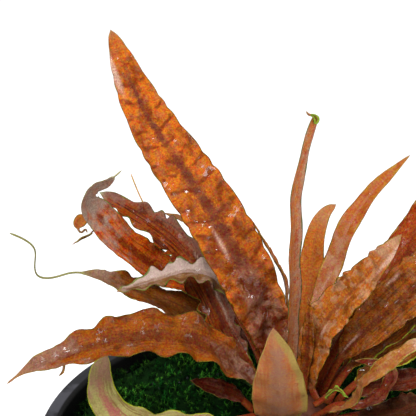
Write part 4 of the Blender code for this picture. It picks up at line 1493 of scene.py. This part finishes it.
class PLANT_OT_crown(Operator):
    """Builds the short rootstock that carries all the leaves"""
    bl_idname = "plant.crown"
    bl_label = "Crown"

    def execute(self, context):
        foot = CROWN_LOW.z
        dome = [(r, RIM + crown_height(r) + SEAT_GAP) for r in
                CROWN_RADIUS * np.sin(np.linspace(math.pi / 2, 0.02, 24))]
        sides = zip(CROWN_RADIUS * np.linspace(0.8, 1, 10), np.linspace(foot, dome[0][1], 10))
        profile = [(0, foot), *list(sides)[:-1], *dome, (0, RIM + CROWN_TOP + SEAT_GAP)]
        mesh = turned_mesh("crown_stock", profile, ROUND_STEPS)
        places = vertex_places(mesh)
        angle = np.arctan2(places[:, 1], places[:, 0])
        bend = 2 * np.sin((places[:, 2] - foot) / (3 * MM))
        ridges = np.abs(np.sin(angle * CROWN_RIDGES + bend)) - 0.5
        places[:, :2] *= (1 + RIDGE_SHARE * ridges)[:, None]
        places[:, :2] += CROWN_CENTRE
        move_vertices(mesh, places)
        crown = link_new("crown_stock", mesh)
        mesh.materials.append(mottled_material("crown_skin", (0.028, 0.006, 0.003),
                                               (0.080, 0.024, 0.012), 350, roughness=0.6,
                                               specular_ior_level=0.15))
        finish_piece(crown, NODE_SLOTS["crown"], "crown")
        return {"FINISHED"}


class PLANT_OT_leaves(Operator):
    """Builds every leaf with its stalk, its relief and its skin"""
    bl_idname = "plant.leaves"
    bl_label = "Leaves"

    def execute(self, context):
        settings = context.scene.plant_leaves
        for leaf in SEEN_LEAVES + HIDDEN_LEAVES + SPROUTS:
            pitch = settings.hidden_pitch if leaf in HIDDEN_LEAVES else settings.pitch
            obj = link_new("dressed_" + leaf.name, leaf_mesh(leaf, pitch))
            ripple = settings.ripple * min(1, leaf.crumple / USUAL_CRUMPLE) ** 2
            grow(obj, relief_tree(), crumple=leaf.crumple * MM,
                 base_crumple=(leaf.base_crumple or leaf.crumple) * MM, ripple=ripple,
                 blister=settings.blister * leaf.blisters, material=skin_material(leaf.skin))
            nodes = [] if leaf.grows_on else [leaf.name]
            finish_piece(obj, NODE_SLOTS[leaf.grows_on or leaf.name], *nodes)
        return {"FINISHED"}


class PLANT_OT_stage(Operator):
    """Builds the floor, the soft lights and the camera"""
    bl_idname = "plant.stage"
    bl_label = "Stage"

    def execute(self, context):
        settings = context.scene.plant_stage
        build_floor(settings)
        world = bpy.data.worlds.new("surroundings")
        world.use_nodes = True
        shown = world.node_tree.nodes["Background"].inputs
        shown["Color"].default_value = opaque(settings.floor)
        shown["Strength"].default_value = settings.ambient
        context.scene.world = world
        for name, place, size, share in LIGHTS:
            add_light(name, place, size, settings.key * share)
        add_camera(settings)
        context.scene.view_settings.view_transform = "Standard"
        return {"FINISHED"}


def build_floor(settings):
    material = new_material("floor_paint", roughness=0.9, base_color=opaque(settings.floor))[0]
    mesh = bpy.data.meshes.new("floor")
    reach = FLOOR_REACH
    corners = [(-reach, -reach, 0), (reach, -reach, 0), (reach, reach, 0), (-reach, reach, 0)]
    mesh.from_pydata(corners, [], [(0, 1, 2, 3)])
    mesh.materials.append(material)
    link_new("floor", mesh)


def add_light(name, place, size, power):
    """A square soft light that faces the middle of the plant."""
    light = bpy.data.lights.new(name, "AREA")
    light.size = size
    light.energy = power
    obj = link_new(name, light)
    obj.location = place
    aim = Vector((0, 0, RIM)) - obj.location
    obj.rotation_euler = aim.to_track_quat("-Z", "Y").to_euler()


def add_camera(settings):
    camera = bpy.data.cameras.new("camera")
    camera.lens = settings.lens
    camera.sensor_width = SENSOR_WIDTH
    camera.clip_end = CLIP_END
    obj = link_new("camera", camera)
    obj.location = Vector(settings.eye) + Vector((0, 0, RIM))
    obj.rotation_euler = (math.pi / 2 - settings.elevation, 0, 0)
    bpy.context.scene.camera = obj


class PLANT_PT_panel(Panel):
    """Lists the builders and what they read"""
    bl_idname = "PLANT_PT_panel"
    bl_label = "Potted Cryptocoryne"
    bl_space_type = "VIEW_3D"
    bl_region_type = "UI"
    bl_category = "Plant"

    def draw(self, context):
        for group, builders in PARTS:
            box = self.layout.box()
            settings = getattr(context.scene, group)
            for name in settings.__annotations__:
                box.prop(settings, name)
            for builder in builders:
                box.operator(builder.bl_idname)


SETTINGS = {
    "plant_pot": PotSettings,
    "plant_moss": MossSettings,
    "plant_leaves": LeafSettings,
    "plant_stage": StageSettings,
}
PARTS = (
    ("plant_pot", (PLANT_OT_pot, PLANT_OT_soil)),
    ("plant_moss", (PLANT_OT_moss,)),
    ("plant_leaves", (PLANT_OT_crown, PLANT_OT_leaves)),
    ("plant_stage", (PLANT_OT_stage,)),
)


def register():
    for group in SETTINGS.values():
        bpy.utils.register_class(group)
    for name, group in SETTINGS.items():
        setattr(bpy.types.Scene, name, PointerProperty(type=group))
    for _, builders in PARTS:
        for builder in builders:
            bpy.utils.register_class(builder)
    bpy.utils.register_class(PLANT_PT_panel)


def unregister():
    bpy.utils.unregister_class(PLANT_PT_panel)
    for _, builders in reversed(PARTS):
        for builder in reversed(builders):
            bpy.utils.unregister_class(builder)
    for name in SETTINGS:
        delattr(bpy.types.Scene, name)
    for group in reversed(SETTINGS.values()):
        bpy.utils.unregister_class(group)


def main():
    register()
    bpy.ops.plant.pot()
    bpy.ops.plant.soil()
    bpy.ops.plant.moss()
    bpy.ops.plant.crown()
    bpy.ops.plant.leaves()
    bpy.ops.plant.stage()
    bpy.context.view_layer.update()


if __name__ == "__main__":
    main()
